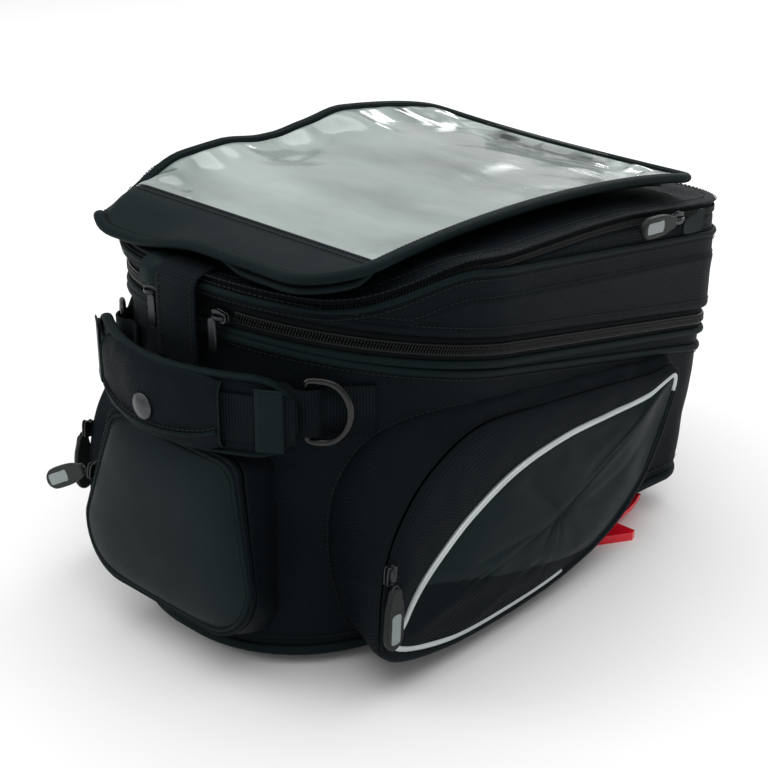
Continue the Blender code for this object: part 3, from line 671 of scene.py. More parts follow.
# ---- the lower body -----------------------------------------------------------------------------
def at_height(height):
    """Points round the body's wall at height(y), found on the lines from its foot to its zip."""
    points = []
    for (x, y), foot, top in zip(outline(body_plan(0.5)), outline(BASE_PLAN), outline(ZIP_PLAN)):
        for _ in range(3):
            z = height(y)
            t = (z - base_z(y) - PAN_THICK) / (zip_z(y) - 0.5 - base_z(y) - PAN_THICK)
            x, y = lerp(foot[0], top[0], t), lerp(foot[1], top[1], t)
        points.append(Vector((x, y, z)))
    return points


def body_row(t, grow=0.0, lift=0.0):
    points = []
    for x, y in outline(grown(body_plan(t), grow)):
        z = lerp(base_z(y) + PAN_THICK + 0.4, zip_z(y) - 9, t) + lift
        points.append(Vector((x, y, z)))
    full = math.sin(math.pi * unit((t - 0.04) / 0.92))
    return [p + n * full * (1.2 + crumple(p, 38, 1.6) + crumple(p, 15, 0.5))
            for p, n in zip(points, outward(points))]


def build_tub():
    rows = [body_row(0, grow) for grow in (-90, -50, -24, -13)]
    rows += [body_row(0.0, -10 + 10 * math.sin(a), 10 * (1 - math.cos(a))) for a in spread(0.3, 1.35, 4)]
    rows += [body_row(t) for t in spread(0.075, 1.0, 26)]
    loft("body_skin", rows, WOVEN, "tub", cap=0, replaces=["tub_shell"], wall=2.4, subdivide=1)
    sweep("foot_binding", at_height(above(base_z, 11)), oval(1.9, 3.4, 10, 0.4), BINDING, "tub")
    seam = at_height(above(base_z, 21))
    outs = outward(seam)
    stitched("foot_seam", offset(seam, outs, 0.9), "tub", outs)


def ring(height, grow=0.0):
    return [Vector((x, y, height(y))) for x, y in outline(grown(ZIP_PLAN, grow))]


def part_ring(points, half=38):
    """The stretch of a ring that leaves out the middle of the rear edge, up to |X| = half."""
    n = len(points)
    kept = [p for p in points[: n // 2 + 1] if p.x >= half or p.y > 0]
    kept += [p for p in points[n // 2 + 1:] if p.x <= -half or p.y > 0]
    y, z = kept[0].y, kept[0].z
    return [Vector((half, y, z)), *kept, Vector((-half, y, z))]


def teeth(name, line, pitch, shift, slant, size, body):
    """A zip's row of teeth: upright grains that slant along the row."""
    outs = outward(line, closed=False)
    places = [(p + d * shift, UP + d * slant, outs[i]) for p, d, i in walk(line, pitch, closed=False)]
    grains(name, places, size, COIL, body)


def welt_z(y):
    """The lower of the two ridges under the expansion zip, which drops away towards the front."""
    return zip_z(y) - lerp(14, 22, (y + 156) / 305)


def build_expansion_zip():
    """Two tapes with a row of teeth each, between rolled welts."""
    for row, body, sign in (("lower", "tub", -1), ("upper", "upper_section", 1)):
        tape = [ring(above(zip_z, sign * h), grow) for h, grow in ((0.3, 0.9), (9.5, 0.6))]
        loft(f"expansion_tape_{row}", tape, TAPE, body, flip=sign < 0, wall=0.8,
             replaces=[f"expansion_zip_{row}"])
        line = part_ring(ring(above(zip_z, sign * 1.35), 1.9))
        teeth(f"expansion_teeth_{row}", line, 1.9, 0.57 * sign, 0.35, (3.3, 1.0, 1.9), body)
        cord = part_ring(ring(above(zip_z, sign * 3.0), 1.5))
        sweep(f"expansion_cord_{row}", cord, oval(0.7, 0.8, 6), COIL, body, closed=False)
    sweep("zip_welt_near", ring(above(zip_z, -9.5), 1.2), oval(2.2, 2.6, 10), BINDING, "tub")
    line = at_height(welt_z)
    ridge = offset(line, outward(line), 1.4)
    sweep("zip_welt_low", ridge, oval(2.2, 2.8, 10), BINDING, "tub", replaces=["tub_welt"])
    stitched("zip_welt_stitches", [p - UP * 4.2 for p in ridge], "tub")


# ---- upper section ------------------------------------------------------------------------------
def wall_row(grow, height, wrinkle=0.0):
    points = ring(height, grow)
    if not wrinkle:
        return points
    return [p + n * (crumple(p, 30, wrinkle) + crumple(p, 12, wrinkle * 0.35))
            for p, n in zip(points, outward(points))]


def wall_rows(curve, *rings):
    """Rows at heights over a curve. Each ring is how much it is grown and its height."""
    return [wall_row(grow, above(curve, h)) for grow, h in rings]


def rows_between(low, high, grow, wrinkle, places):
    return [wall_row(grow, lambda y, t=t: lerp(low(y), high(y), t), wrinkle) for t in places]


def fold_z(y):
    """The stitched fold across the middle of the collar."""
    return max(rim_z(y) - 19, zip_z(y) + 15)


def build_upper_section():
    rows = wall_rows(zip_z, (-1.5, 8.5), (1.0, 8.0), (3.4, 8.4), (4.8, 10.2), (5.0, 12.6), (4.2, 14.4))
    rows += rows_between(above(zip_z, 14.4), fold_z, 4.6, 0.8, (0.35, 0.7))
    rows += wall_rows(fold_z, (5.4, -1.0), (5.7, 0.8), (4.4, 2.6))
    rows += rows_between(above(fold_z, 2.6), above(rim_z, -3.2), 4.6, 0.7, (0.35, 0.7))
    rows += wall_rows(rim_z, (4.9, -3.2), (4.9, -1.4), (3.6, 0.0), (2.9, 1.2))
    rows += rows_between(above(rim_z, 1.2), above(lid_z, -3.6), 2.8, 0.8, (0.4, 0.75))
    rows += wall_rows(lid_z, (2.6, -3.6), (0.4, -3.3))
    loft("collar_skin", rows, WOVEN, "upper_section", replaces=["rim_section"], wall=1.8, subdivide=1)
    roll = oval(1.9, 2.1, 10)
    sweep("rim_roll", ring(rim_z, 4.6), roll, BINDING, "upper_section", replaces=["rim_piping"])
    for name, curve, up, grow in (("fold", fold_z, 3.4, 4.7), ("rim", rim_z, -4.6, 5.1),
                                  ("welt", zip_z, 15.0, 4.6)):
        stitched(f"{name}_stitches", ring(above(curve, up), grow), "upper_section")
    build_lid_zip()


def side_stretch(points):
    """The part of a ring that the lid's zip runs along: all but the front edge's middle."""
    front = len(points) // 2
    return points[front + 8:] + points[: front - 7]


def build_lid_zip():
    for row, body, sign in (("lower", "upper_section", -1), ("upper", "lid", 1)):
        tape = [side_stretch(ring(above(lid_z, sign * h), grow)) for h, grow in ((0.5, 2.4), (5.2, 2.0))]
        loft(f"lid_tape_{row}", tape, TAPE, body, wrap=False, flip=sign < 0, wall=0.7,
             replaces=["lid_zip"] if sign > 0 else [])
        line = side_stretch(ring(above(lid_z, sign * 1.1), 3.1))
        teeth(f"lid_teeth_{row}", line, 2.0, 0.5 * sign, 0.3, (2.6, 1.1, 1.4), body)


# ---- lid ----------------------------------------------------------------------------------------
def lid_top_row(grow, lower=0.0):
    rise = smooth(-grow / 30.0)
    points = []
    for x, y in outline(grown(ZIP_PLAN, grow)):
        z = lerp(lid_z(y) + 7.0, map_back_z(x, y) - 5.4, rise) - lower
        points.append(Vector((x, y, z + crumple((x, y, 0), 26, 0.7) * (1 - rise))))
    return points


def build_lid():
    rows = wall_rows(lid_z, (0.6, 4.4), (3.0, 4.2), (4.4, 5.6), (3.8, 6.6)) + [lid_top_row(2.0, 0.2)]
    rows += [lid_top_row(grow) for grow in (-2, -6, -11, -17, -24, -31, -50, -75, -100)]
    loft("lid_skin", rows, WOVEN, "lid", cap=-1, replaces=["lid_shell"], wall=1.6, subdivide=1)
    wall = ring(lid_z, 1.2)
    hinge = wall[len(wall) // 2 - 9: len(wall) // 2 + 10]
    strip = [[p - UP * 3.4 for p in hinge], [p + UP * 3.6 for p in hinge]]
    loft("lid_hinge_cloth", strip, WOVEN, "upper_section", wrap=False, wall=0.8)
    stitched("lid_edge_stitches", [p + UP * 0.3 for p in lid_top_row(-4)], "lid", UP)
    stitched("lid_wall_stitches", ring(above(lid_z, 6.4), 4.3), "lid")


# ---- map pocket ---------------------------------------------------------------------------------
def map_sheet(name, plan, ys, columns, height, look, **options):
    """A sheet of the map pocket at height(x, y), from edge to edge of a plan."""
    rows = []
    for y in ys:
        half = half_width(plan, y)
        rows.append([Vector((x, y, height(x, y))) for x in spread(-half, half, columns)])
    return loft(name, rows, look, "map_pocket", wrap=False, subdivide=1, **options)


def near_ends(low, high, steps):
    """Values from low to high that lie closer together at both ends."""
    return [lerp(low, high, 0.5 - 0.5 * math.cos(math.pi * t)) for t in spread(0, 1, steps)]


def on_map(points, up):
    return [Vector((x, y, map_z(x, y) + up)) for x, y in points]


def build_map_pocket():
    inner = grown(MAP_PLAN, -4.5)

    def wavy_z(x, y):
        """The vinyl lies in long soft waves between its edges."""
        free = smooth(min(half_width(inner, y) - abs(x), y - MAP_SEAM, inner.y_front - y) / 24)
        return map_z(x, y) - 0.4 + free * (crumple((x, y * 0.55, 3), 34, 2.2) + crumple((x, y, 9), 15, 0.7))

    def at_edge(p):
        inset = half_width(inner, p.y) - abs(p.x)
        edge = min(inset, p.y - MAP_SEAM, inner.y_front - 0.2 - p.y)
        return 1.0 if edge < 3 else max(0.0, 0.25 - edge / 60)

    made = map_sheet("window_sheet", inner, near_ends(MAP_SEAM, inner.y_front - 0.2, 44), 34, wavy_z, VINYL,
                     replaces=["map_window"], wall=0.5)
    settled(made, at_edge, growth=0.035, frames=22, cap=7.0, stiffness=22.0, gravity=0.25)
    made = map_sheet("near_panel", inner, near_ends(inner.y_rear + 0.2, MAP_SEAM + 5, 12), 30,
                     lambda x, y: map_z(x, y) + 0.4, PANEL, replaces=["map_front_panel"], wall=1.2)
    half = half_width(inner, MAP_SEAM) - 2
    for name, y in (("near_panel_stitches_a", MAP_SEAM + 2.6), ("near_panel_stitches_b", MAP_SEAM - 1.6)):
        line = on_map([(x, y) for x in spread(-half, half, 40)], 0.6)
        stitched(name, line, "map_pocket", UP, closed=False, pitch=3.2)
    inside = outline(grown(MAP_PLAN, -3.6), MAP_STRETCHES)
    edge = [Vector((x, y, map_z(*q) - 0.8)) for (x, y), q in zip(outline(MAP_PLAN, MAP_STRETCHES), inside)]
    sweep("map_edge_roll", edge, oval(4.2, 3.4, 14, -1.6), BINDING, "map_pocket", replaces=["map_binding"])
    line = on_map(outline(grown(MAP_PLAN, -4.6), MAP_STRETCHES), 1.5)
    stitched("map_edge_stitches", line, "map_pocket", UP, pitch=3.2)
    back = grown(MAP_PLAN, -MAP_BACK_INSET)
    made = map_sheet("map_back_sheet", back, near_ends(back.y_rear + 0.2, back.y_front - 0.2, 24), 20,
                     map_back_z, WOVEN, replaces=["map_back_panel"], wall=1.4)
    build_back_roll()
    build_far_patch()
    build_closure_strap()


def build_back_roll():
    """The bound edge of the pocket's back layer, which hangs below the front edge at the near right."""
    path, top = [], []
    for x, y in outline(grown(MAP_PLAN, -2.5), MAP_STRETCHES):
        if x > 19 and y < -146:
            drop = 1.5 + 6.5 * smooth((x - 19) / 26) * smooth((-146 - y) / 16)
            path.append(Vector((x, y, map_z(x, y) - drop)))
            top.append(Vector((x, y, map_z(x, y) - 1.0)))
    outs = outward(path, closed=False)
    sweep("map_back_roll", path, oval(2.9, 2.4, 12, -0.8), BINDING, "map_pocket", closed=False)
    skirt = [offset(top, outs, -2.4), offset(path, outs, -1.0)]
    loft("map_back_skirt", skirt, WOVEN, "map_pocket", wrap=False, wall=0.8)


def build_far_patch():
    plan = Plan(55, 55, 148.5, 162.5, 6.5, 6.5)
    map_sheet("far_patch", plan, near_ends(plan.y_rear + 0.1, plan.y_front - 0.1, 10), 24,
              lambda x, y: map_z(x, y) + 2.4 + 0.8 * (1 - (abs(x) / 56) ** 6), PANEL,
              replaces=["map_patch"], wall=1.2)
    line = on_map(outline(grown(plan, -2.2), (10, 4, 4, 4, 10)), 3.1)
    stitched("far_patch_stitches", line, "map_pocket", UP, pitch=3.0)


def flat_strap(name, path, half, thick, look, body, **options):
    """A flat strap through the path's points, with slightly rounded edges."""
    section = [(thick / 2 * (0.35 if abs(s) == 1 else 1), s * half) for s in (-1, -0.94, 0.94, 1)]
    section += [(-o, s) for o, s in reversed(section)]
    line = spline(path, 6, closed=False)
    outs = [along.cross(RIGHT).normalized() for along in tangents(line, closed=False)]
    sweep(name, line, section, look, body, outs, closed=False, **options)


def build_closure_strap():
    low, high = (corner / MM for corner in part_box("closure_strap"))
    y, top = low.y + 1.3, high.z - 1.3
    tuck = top - 9
    route = [(0, high.y + 6, tuck), (0, y + 10, tuck - 0.4), (0, y + 3, tuck - 3), (0, y + 0.2, tuck - 8)]
    route += [(0, y, top - 24), (0, y - 0.4, lerp(top, low.z, 0.6)), (0, y + 0.1, low.z)]
    flat_strap("strap_webbing", route, 18, 1.9, WEB, "map_pocket", replaces=["closure_strap"])
    for side, name in ((-1, "left"), (1, "right")):
        line = [Vector(p) + Vector((side * 14.6, -1.05, 0)) for p in spline(route[2:], 8, closed=False)]
        stitched(f"strap_stitches_{name}", line, "map_pocket", BACK, closed=False, pitch=3.4)
    tail = [(high.y + 6, 1), (y + 10, 1.6), (y + 4, 5), (y + 2, 12), (y + 1.8, 16)]
    flat_strap("strap_tail", [(-27, at, tuck - down) for at, down in tail], 8.5, 1.8, PANEL, "map_pocket")


# ---- side pockets -------------------------------------------------------------------------------
# Closed outlines on a side as (Y, Z): the gusset's seam, the cover's edge and the piping.
POCKET_SEAM = [(-148, 26), (-158, 56), (-162, 90), (-159, 130), (-141, 163), (-102, 173), (-35, 164),
               (40, 151), (98, 140), (134, 132), (128, 96), (106, 54), (66, 24), (8, 9), (-60, 8),
               (-118, 12)]
POCKET_ZIP = [(-166, 30), (-171, 58), (-167, 90), (-156, 116), (-130, 142), (-86, 158), (-25, 152),
              (45, 142), (96, 134), (130, 129), (120, 94), (97, 55), (58, 28), (4, 15), (-57, 12),
              (-120, 16)]
POCKET_PIPE = [(-162, 38), (-154, 54), (-141, 70), (-120, 86), (-92, 102), (-50, 117), (0, 123),
               (50, 122), (95, 121), (125, 126), (111, 90), (88, 58), (49, 33), (1, 22), (-55, 19),
               (-114, 22)]
POCKET_CENTRE = Vector((-10, 70))
PANEL_SEAM = ((-162, 78), (14, 30))
FINE = 8


def pocket_keys(keys):
    return spline([Vector(k) for k in keys], FINE)


def build_side_pocket(side, name):
    seam, edge, pipe = (pocket_keys(k) for k in (POCKET_SEAM, POCKET_ZIP, POCKET_PIPE))
    out = RIGHT * side

    def place(p, x):
        return Vector((side * x, p.x, p.y))

    rows = []
    for t in spread(0, 1, 10):
        row = []
        soft = math.sin(math.pi * t)
        for i, (p, q) in enumerate(zip(seam, edge)):
            x = lerp(side_x(p.x, p.y) - 0.5, POCKET_FACE - 2.4, t ** 0.85)
            folds = noise.noise(Vector((i * 0.34, t * 1.6, side * 3.0))) * 2.6
            folds += noise.noise(Vector((i * 0.9, t * 3, 7.0)))
            away = (q - POCKET_CENTRE).normalized() * soft * (0.6 + folds * 0.8)
            row.append(place(p.lerp(q, smooth(t) * 0.98) + away, x + soft * folds * 0.5))
        rows.append(row)
    loft(f"side_gusset_{name}", rows, WOVEN, "tub", flip=side < 0, wall=1.6, subdivide=1,
         replaces=[f"side_pocket_gusset_{name}"])
    around = pocket_keys([POCKET_CENTRE.lerp(Vector(k), 1.015) for k in POCKET_SEAM])
    line = [place(p, side_x(p.x, p.y) + 1.3) for p in around]
    stitched(f"side_gusset_stitches_{name}", line, "tub", out)
    build_side_cover(side, name, edge, pipe, place, out)


def build_side_cover(side, name, edge, pipe, place, out):
    body = f"side_pocket_{name}"

    def band_x(t):
        return POCKET_FACE - 0.6 + 2.6 * math.sin(math.pi * t) ** 0.7

    rows = [[place(q.lerp(r, 0.02), POCKET_FACE - 2.2) for q, r in zip(edge, pipe)]]
    for t in spread(0, 1, 9):
        row = []
        for q, r in zip(edge, pipe):
            p = q.lerp(r, lerp(0.02, 0.97, t))
            soft = min((q - r).length / 20, 1) * crumple((p.x, p.y, side), 16, 1.3) * math.sin(math.pi * t)
            row.append(place(p, band_x(t) + soft))
        rows.append(row)
    loft(f"side_band_{name}", rows, WOVEN, body, flip=side < 0, wall=1.4, subdivide=1)
    for inset, label in ((0.10, "zip"), (0.86, "band")):
        line = [place(q.lerp(r, inset), band_x(inset) + 0.3) for q, r in zip(edge, pipe)]
        stitched(f"side_{label}_stitches_{name}", line, body, out)

    a, b = (Vector(p) for p in PANEL_SEAM)
    along = (b - a).normalized()
    normal = Vector((-along.y, along.x))

    def height_over_seam(p):
        return (Vector((p[0], p[1])) - a).dot(normal)

    rows = []
    for t in (0.0, 0.04, 0.09, 0.15, 0.22, 0.30, 0.39, 0.49, 0.60, 0.71, 0.82, 0.92):
        row = []
        for p in pipe:
            p = p.lerp(POCKET_CENTRE, t)
            crown = 8.4 * (1 - (1 - min(t / 0.75, 1)) ** 2.4)
            groove = 1.6 * bump(height_over_seam(p), 0, 5.0) * min(t / 0.1, 1)
            row.append(place(p, POCKET_FACE + 0.4 + crown - groove))
        rows.append(row)
    cover = loft(f"side_panel_{name}", rows, PANEL, body, flip=side < 0, wall=2.0, subdivide=1,
                 fan=place(POCKET_CENTRE, POCKET_FACE + 8.8), flat_uv=lambda p: (p.y, p.z),
                 replaces=[f"side_pocket_cover_{name}"])
    cut_along(cover, (0, a.x * MM, a.y * MM), (0, normal.x, normal.y))
    cover.data.materials.append(WOVEN[0])
    for polygon in cover.data.polygons:
        centre = polygon.center / MM
        if height_over_seam((centre.y, centre.z)) < 0:
            polygon.material_index = 1

    def held(p):
        flat = Vector((p.y, p.z))
        nearest = min((flat - q).length for q in pipe[::2])
        return 1.0 if nearest < 4 or abs(height_over_seam(flat)) < 3 else 0.0

    settled(cover, held, pressure=1.6, frames=14, cap=4.5, stiffness=20)
    for label, up in (("upper", 2.2), ("lower", -2.2)):
        rays = [place(a.lerp(b, t) + normal * up, 200) for t in spread(0.06, 1.0, 60)]
        line = on_surface(cover, rays, -out)
        if len(line) > 1:
            stitched(f"side_seam_{label}_{name}", line, body, out, closed=False)
    silver = [place(p, POCKET_FACE + 1.6) for p in pipe]
    silver = silver[-3 * FINE:] + silver[: 9 * FINE + 4]
    dark = [place(p, POCKET_FACE + 1.2) for p in pipe][9 * FINE + 2: -3 * FINE + 2]
    sweep(f"side_silver_{name}", silver, oval(2.2, 2.2, 12), SILVER, body, out, closed=False,
          replaces=[f"side_piping_{name}"])
    sweep(f"side_dark_edge_{name}", dark, oval(1.9, 2.0, 10), BINDING, body, out, closed=False)


def cut_along(made, place, normal):
    """Cuts edges into a piece along a plane, so that two cloths can meet on a clean line."""
    mesh = bmesh.new()
    mesh.from_mesh(made.data)
    parts = [*mesh.verts, *mesh.edges, *mesh.faces]
    bmesh.ops.bisect_plane(mesh, geom=parts, plane_co=place, plane_no=normal)
    mesh.to_mesh(made.data)
    mesh.free()


def on_surface(made, points, direction):
    """Where lines from the points in a direction meet a piece. Points and results are in millimetres."""
    mesh = made.data
    faces = [tuple(p.vertices) for p in mesh.polygons]
    tree = BVHTree.FromPolygons([v.co / MM for v in mesh.vertices], faces)
    hits = [tree.ray_cast(p, direction)[0] for p in points]
    return [hit for hit in hits if hit is not None]


# ---- rider-end pocket ---------------------------------------------------------------------------
REAR_SEAM = Plan(64, 64, 22, 150, 20, 14)
REAR_EDGE = Plan(82, 64, 34, 152.5, 38, 14)
REAR_PANEL = Plan(78.5, 60, 38.5, 148.5, 35, 15)
REAR_STRETCHES = (12, 14, 20, 8, 12)
REAR_FOOT, REAR_LEAN = 14, 19 / 150


def rear_face(z):
    return -226 + (z - REAR_FOOT) * REAR_LEAN


def rear_loop(plan, y_of):
    return [Vector((x, y_of(x, z), z)) for x, z in outline(plan, REAR_STRETCHES)]


def build_rear_pocket():
    seam = rear_loop(REAR_SEAM, lambda x, z: rear_y(x, z) + 0.3)
    edge = rear_loop(REAR_EDGE, lambda x, z: rear_face(z) + 2.4)
    middle = Vector((0, -215, 80))
    rows = []
    for t in spread(0, 1, 9):
        row = []
        for i, (p, q) in enumerate(zip(seam, edge)):
            place = p.lerp(q, t)
            away = place - middle
            away.y = 0
            swell = math.sin(math.pi * t) * (1.5 + 1.6 * noise.noise(Vector((i * 0.3, t * 2, 11))))
            row.append(place + away.normalized() * swell)
        rows.append(row)
    loft("rear_gusset", rows, WOVEN, "tub", wall=1.6, subdivide=1, replaces=["rear_pocket_gusset"])

    rows = [rear_loop(grown(REAR_EDGE, -0.4), lambda x, z: rear_face(z) + 1.9)]
    for t in spread(0, 1, 7):
        plan = mixed(grown(REAR_EDGE, 0.2 if 0 < t < 0.5 else -0.6), REAR_PANEL, smooth(t))
        proud = 0.2 + 2.0 * math.sin(math.pi * min(t * 1.15, 1)) ** 0.8
        rows.append(rear_loop(plan, lambda x, z: rear_face(z) - proud))
    loft("rear_frame", rows, WOVEN, "rear_pocket", wall=1.6, subdivide=1)
    welt = rear_loop(REAR_PANEL, lambda x, z: rear_face(z) - 1.6)
    sweep("rear_welt", welt, oval(1.9, 1.7, 10), BINDING, "rear_pocket", BACK)
    line = rear_loop(grown(REAR_PANEL, -2.6), lambda x, z: rear_face(z) - 3.4)
    stitched("rear_frame_stitches", line, "rear_pocket", BACK)
    build_rear_panel()


def build_rear_panel():
    low = REAR_PANEL.y_rear
    centre_z = (low + REAR_PANEL.y_front) / 2

    def padded_y(x, z):
        across = min(abs(x) / half_width(REAR_PANEL, z), 1) ** 3.4
        up = min(abs(z - centre_z) / (centre_z - low), 1) ** 3.4
        return rear_face(z) - 1.4 - 8.8 * ((1 - across) * (1 - up)) ** 0.6

    inner = rear_loop(grown(REAR_PANEL, -0.6), lambda x, z: 0)
    rows = []
    for t in (0, 0.02, 0.05, 0.09, 0.14, 0.20, 0.28, 0.38, 0.5, 0.62, 0.74, 0.86, 0.95):
        flat = [(lerp(p.x, 0, t), lerp(p.z, centre_z, t)) for p in inner]
        rows.append([Vector((x, padded_y(x, z), z)) for x, z in flat])
    centre = Vector((0, padded_y(0, centre_z), centre_z))
    panel = loft("rear_panel", rows, PANEL, "rear_pocket", fan=centre, flat_uv=lambda p: (p.x, p.z),
                 wall=2.0, subdivide=1, replaces=["rear_pocket_cover"])

    def held(p):
        plan = grown(REAR_PANEL, -3)
        inside = plan.y_rear < p.z < plan.y_front and abs(p.x) < half_width(plan, p.z)
        return 0.0 if inside else 1.0

    settled(panel, held, pressure=1.5, frames=14, cap=4.0, stiffness=20)


# ---- handle and rings ---------------------------------------------------------------------------
def handle_path(half, steps):
    points = []
    for i in range(steps + 1):
        x = half * math.cos(math.pi * i / steps)
        bow = abs(math.cos(math.pi * x / (2 * HANDLE_HALF))) ** 0.9
        points.append(Vector((x, HANDLE_Y - HANDLE_BOW * bow, HANDLE_HEIGHT)))
    return points


def handle_outs(path):
    """Directions away from the bag along the handle."""
    return [-n for n in outward(path, closed=False)]


def pad_half(x):
    return 24.5 * math.sqrt(max(1 - (max(abs(x) - 67, 0) / 22) ** 2, 0.03))


def squared(value, power):
    """A sine or cosine made fuller, which turns a circle into a rounded rectangle."""
    return math.copysign(abs(value) ** power, value)


def build_handle():
    path = handle_path(88, 40)
    outs = handle_outs(path)
    rows = []
    for p, n in zip(path, outs):
        high = pad_half(p.x)
        rows.append([p + n * (3.4 * squared(math.cos(a), 0.8)) + UP * (high * squared(math.sin(a), 0.55))
                     for a in turn(20)])
    pad = loft("grip_pad", rows, WOVEN, "handle", replaces=["handle_pad"], subdivide=1)
    face_out(pad)
    rim = [p + UP * pad_half(p.x) for p in path] + [p - UP * pad_half(p.x) for p in reversed(path)]
    sweep("grip_binding", rim, oval(3.6, 1.9, 10), BINDING, "handle", outs + outs[::-1])
    strap = handle_path(89, 40)
    half = WEBBING / 2
    section = [(3.4, -half), (3.4, half), (5.2, half), (5.2, -half)]
    sweep("grip_webbing", strap, section, WEB, "handle", handle_outs(strap), closed=False,
          replaces=["handle_webbing"])
    build_wrap()
    for side, name in ((1, "right"), (-1, "left")):
        keeper = [p for p in handle_path(HANDLE_HALF, 80) if 67.5 < side * p.x < 84.5]
        upper = [(5.4, 19), (6.4, 20.4), (7.0, 19), (6.6, 16.5)]
        section = upper + [(out, -up) for out, up in reversed(upper)]
        sweep(f"keeper_{name}", keeper, section, PANEL, "handle", handle_outs(keeper), closed=False,
              replaces=[f"handle_keeper_{name}"])


WRAP_HALF = 51.0


def build_wrap():
    """The woven sleeve round the middle of the handle, closed by a snap on its lower flap."""
    path = handle_path(WRAP_HALF, 36)
    outs = handle_outs(path)
    rows = []
    for p, n in zip(path, outs):
        high = 25.5 - 3.5 * (abs(p.x) / WRAP_HALF) ** 4
        row = []
        for a in turn(28):
            soft = 1.4 * noise.noise(Vector((p.x / 17, a * 1.1, 5)))
            up = (high + soft) * squared(math.sin(a), 0.6)
            away = (7.4 + soft) * squared(math.cos(a), 0.7) + 1.0
            row.append(p + n * away + UP * up)
        rows.append(row)
    wrap = loft("wrap_sleeve", rows, WOVEN, "handle", replaces=["handle_wrap"], wall=1.4, subdivide=1)
    face_out(wrap, fill=False)
    for name, loop in (("right", rows[0]), ("left", rows[-1])):
        middle = sum(loop, Vector()) / len(loop)
        away = [(p - middle).normalized() for p in loop]
        sweep(f"wrap_hem_{name}", loop, oval(0.7, 0.8, 8), BINDING, "handle", away)
    hem = [p + n * 8.9 - UP * (6 + 11 * (1 - (abs(p.x) / WRAP_HALF) ** 2) ** 0.5)
           for p, n in zip(path, outs)]
    hem, outs = hem[3:-3], outs[3:-3]
    sweep("wrap_flap_edge", hem, oval(0.9, 1.5, 8), BINDING, "handle", outs, closed=False)
    stitched("wrap_flap_stitches", [p + UP * 3 for p in hem], "handle", outs, closed=False)
    build_snap()


def build_snap():
    """The snap's cap, turned from a profile of (radius, distance along its axis)."""
    low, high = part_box("snap_button")
    centre = Vector((0, high.y / MM, (low.z + high.z) / 2 / MM))
    side = BACK.orthogonal().normalized()
    other = BACK.cross(side)
    profile = [(8.6, -0.4), (8.6, 0.5), (8.0, 1.2), (7.2, 1.1), (6.6, 1.4), (5.0, 2.4), (2.6, 3.0),
               (0.3, 3.2)]
    rows = [[centre + BACK * d + side * r * math.cos(a) + other * r * math.sin(a) for a in turn(28)]
            for r, d in profile]
    face_out(loft("snap_cap", rows, CAP, "handle", replaces=["snap_button"]))


def build_ring(side, name):
    """The D-ring and its sewn webbing loop."""
    plan = body_plan((HANDLE_HEIGHT + WEBBING / 2) / zip_z(-150))
    centre = Vector((plan.half_rear - plan.r_rear, plan.y_rear + plan.r_rear, HANDLE_HEIGHT))

    def corner(angle, out):
        a, r = math.radians(angle), plan.r_rear + out
        return Vector((side * (centre.x + r * math.cos(a)), centre.y + r * math.sin(a), centre.z))

    loop = ((-68, 3.0), (-64, 2.8), (-62, 3.8), (-60, 9.2), (-57, 11.4), (-54, 9.2), (-52, 3.8), (-48, 2.4),
            (-43, 2.1), (-38, 1.8))
    path = spline([corner(a, o) for a, o in loop], 5, closed=False)
    outs = [out * side for out in outward(path, closed=False)]
    section = [(o, s * WEBBING / 2) for o, s in ((0.9, -1), (0.9, 1), (-0.9, 1), (-0.9, -1))]
    sweep(f"anchor_{name}", path, section, WEB, "tub", outs, closed=False, replaces=[f"ring_anchor_{name}"])
    bar = corner(-57.0, 7.0)
    reach = (corner(-36.0, 14.0) - bar).normalized()
    half = 20.0
    corners = [(0, half - 3), (1.2, half - 0.8), (4, half), (10, half)]
    bow = [(10 + half * 0.85 * math.sin(a), -half * math.cos(a)) for a in spread(0.15, math.pi - 0.15, 16)]
    outside = [(x, -y) for x, y in corners] + bow + corners[::-1] + [(0, 0)]
    points = [bar + reach * x + UP * y for x, y in outside]
    sweep(f"ring_{name}_wire", points, oval(2.2, 2.5, 12), GLOSS, f"ring_{name}",
          reach.cross(UP).normalized(), replaces=[f"d_ring_{name}"], subdivide=1)


# ---- zip sliders and pullers --------------------------------------------------------------------
def slab(name, shape, thick, origin, along, normal, look, body, edge=0.8, **options):
    """A flat moulded piece: shape is its outline as (along, across) pairs, rounded over at both faces."""
    along = Vector(along).normalized()
    normal = (Vector(normal) - along * Vector(normal).dot(along)).normalized()
    across = normal.cross(along)
    middle = sum((Vector(p) for p in shape), Vector((0, 0))) / len(shape)
    rows = []
    steps = ((-1, edge * 1.6), (-1, edge), (-1 + edge / thick, edge * 0.3), (0, 0),
             (1 - edge / thick, edge * 0.3), (1, edge), (1, edge * 1.6))
    for lift, shrink in steps:
        row = []
        for p in map(Vector, shape):
            inward = middle - p
            q = p + inward.normalized() * min(shrink, inward.length * 0.6)
            row.append(Vector(origin) + along * q.x + across * q.y + normal * (lift * thick / 2))
        rows.append(row)
    face_out(loft(name, rows, look, body, **options))


def rounded(points, steps=4):
    return [tuple(p) for p in spline([Vector(p) for p in points], steps)]


# Outlines as (along, across), of which each list is one half; both() adds its mirror image.
PULLER_HALF = [(-1, 3.0), (4, 4.6), (11, 6.6), (19, 7.4), (32, 7.2), (37.5, 5.0), (40, 1.9)]
LABEL_HALF = [(16, 3.4), (22, 3.8), (33, 3.8), (35.5, 2.6)]
TAB_HALF = [(-1, 2.2), (2, 3.1), (17, 3.4), (20, 2.0)]


def both(half):
    return [(along, -across) for along, across in half] + half[::-1]


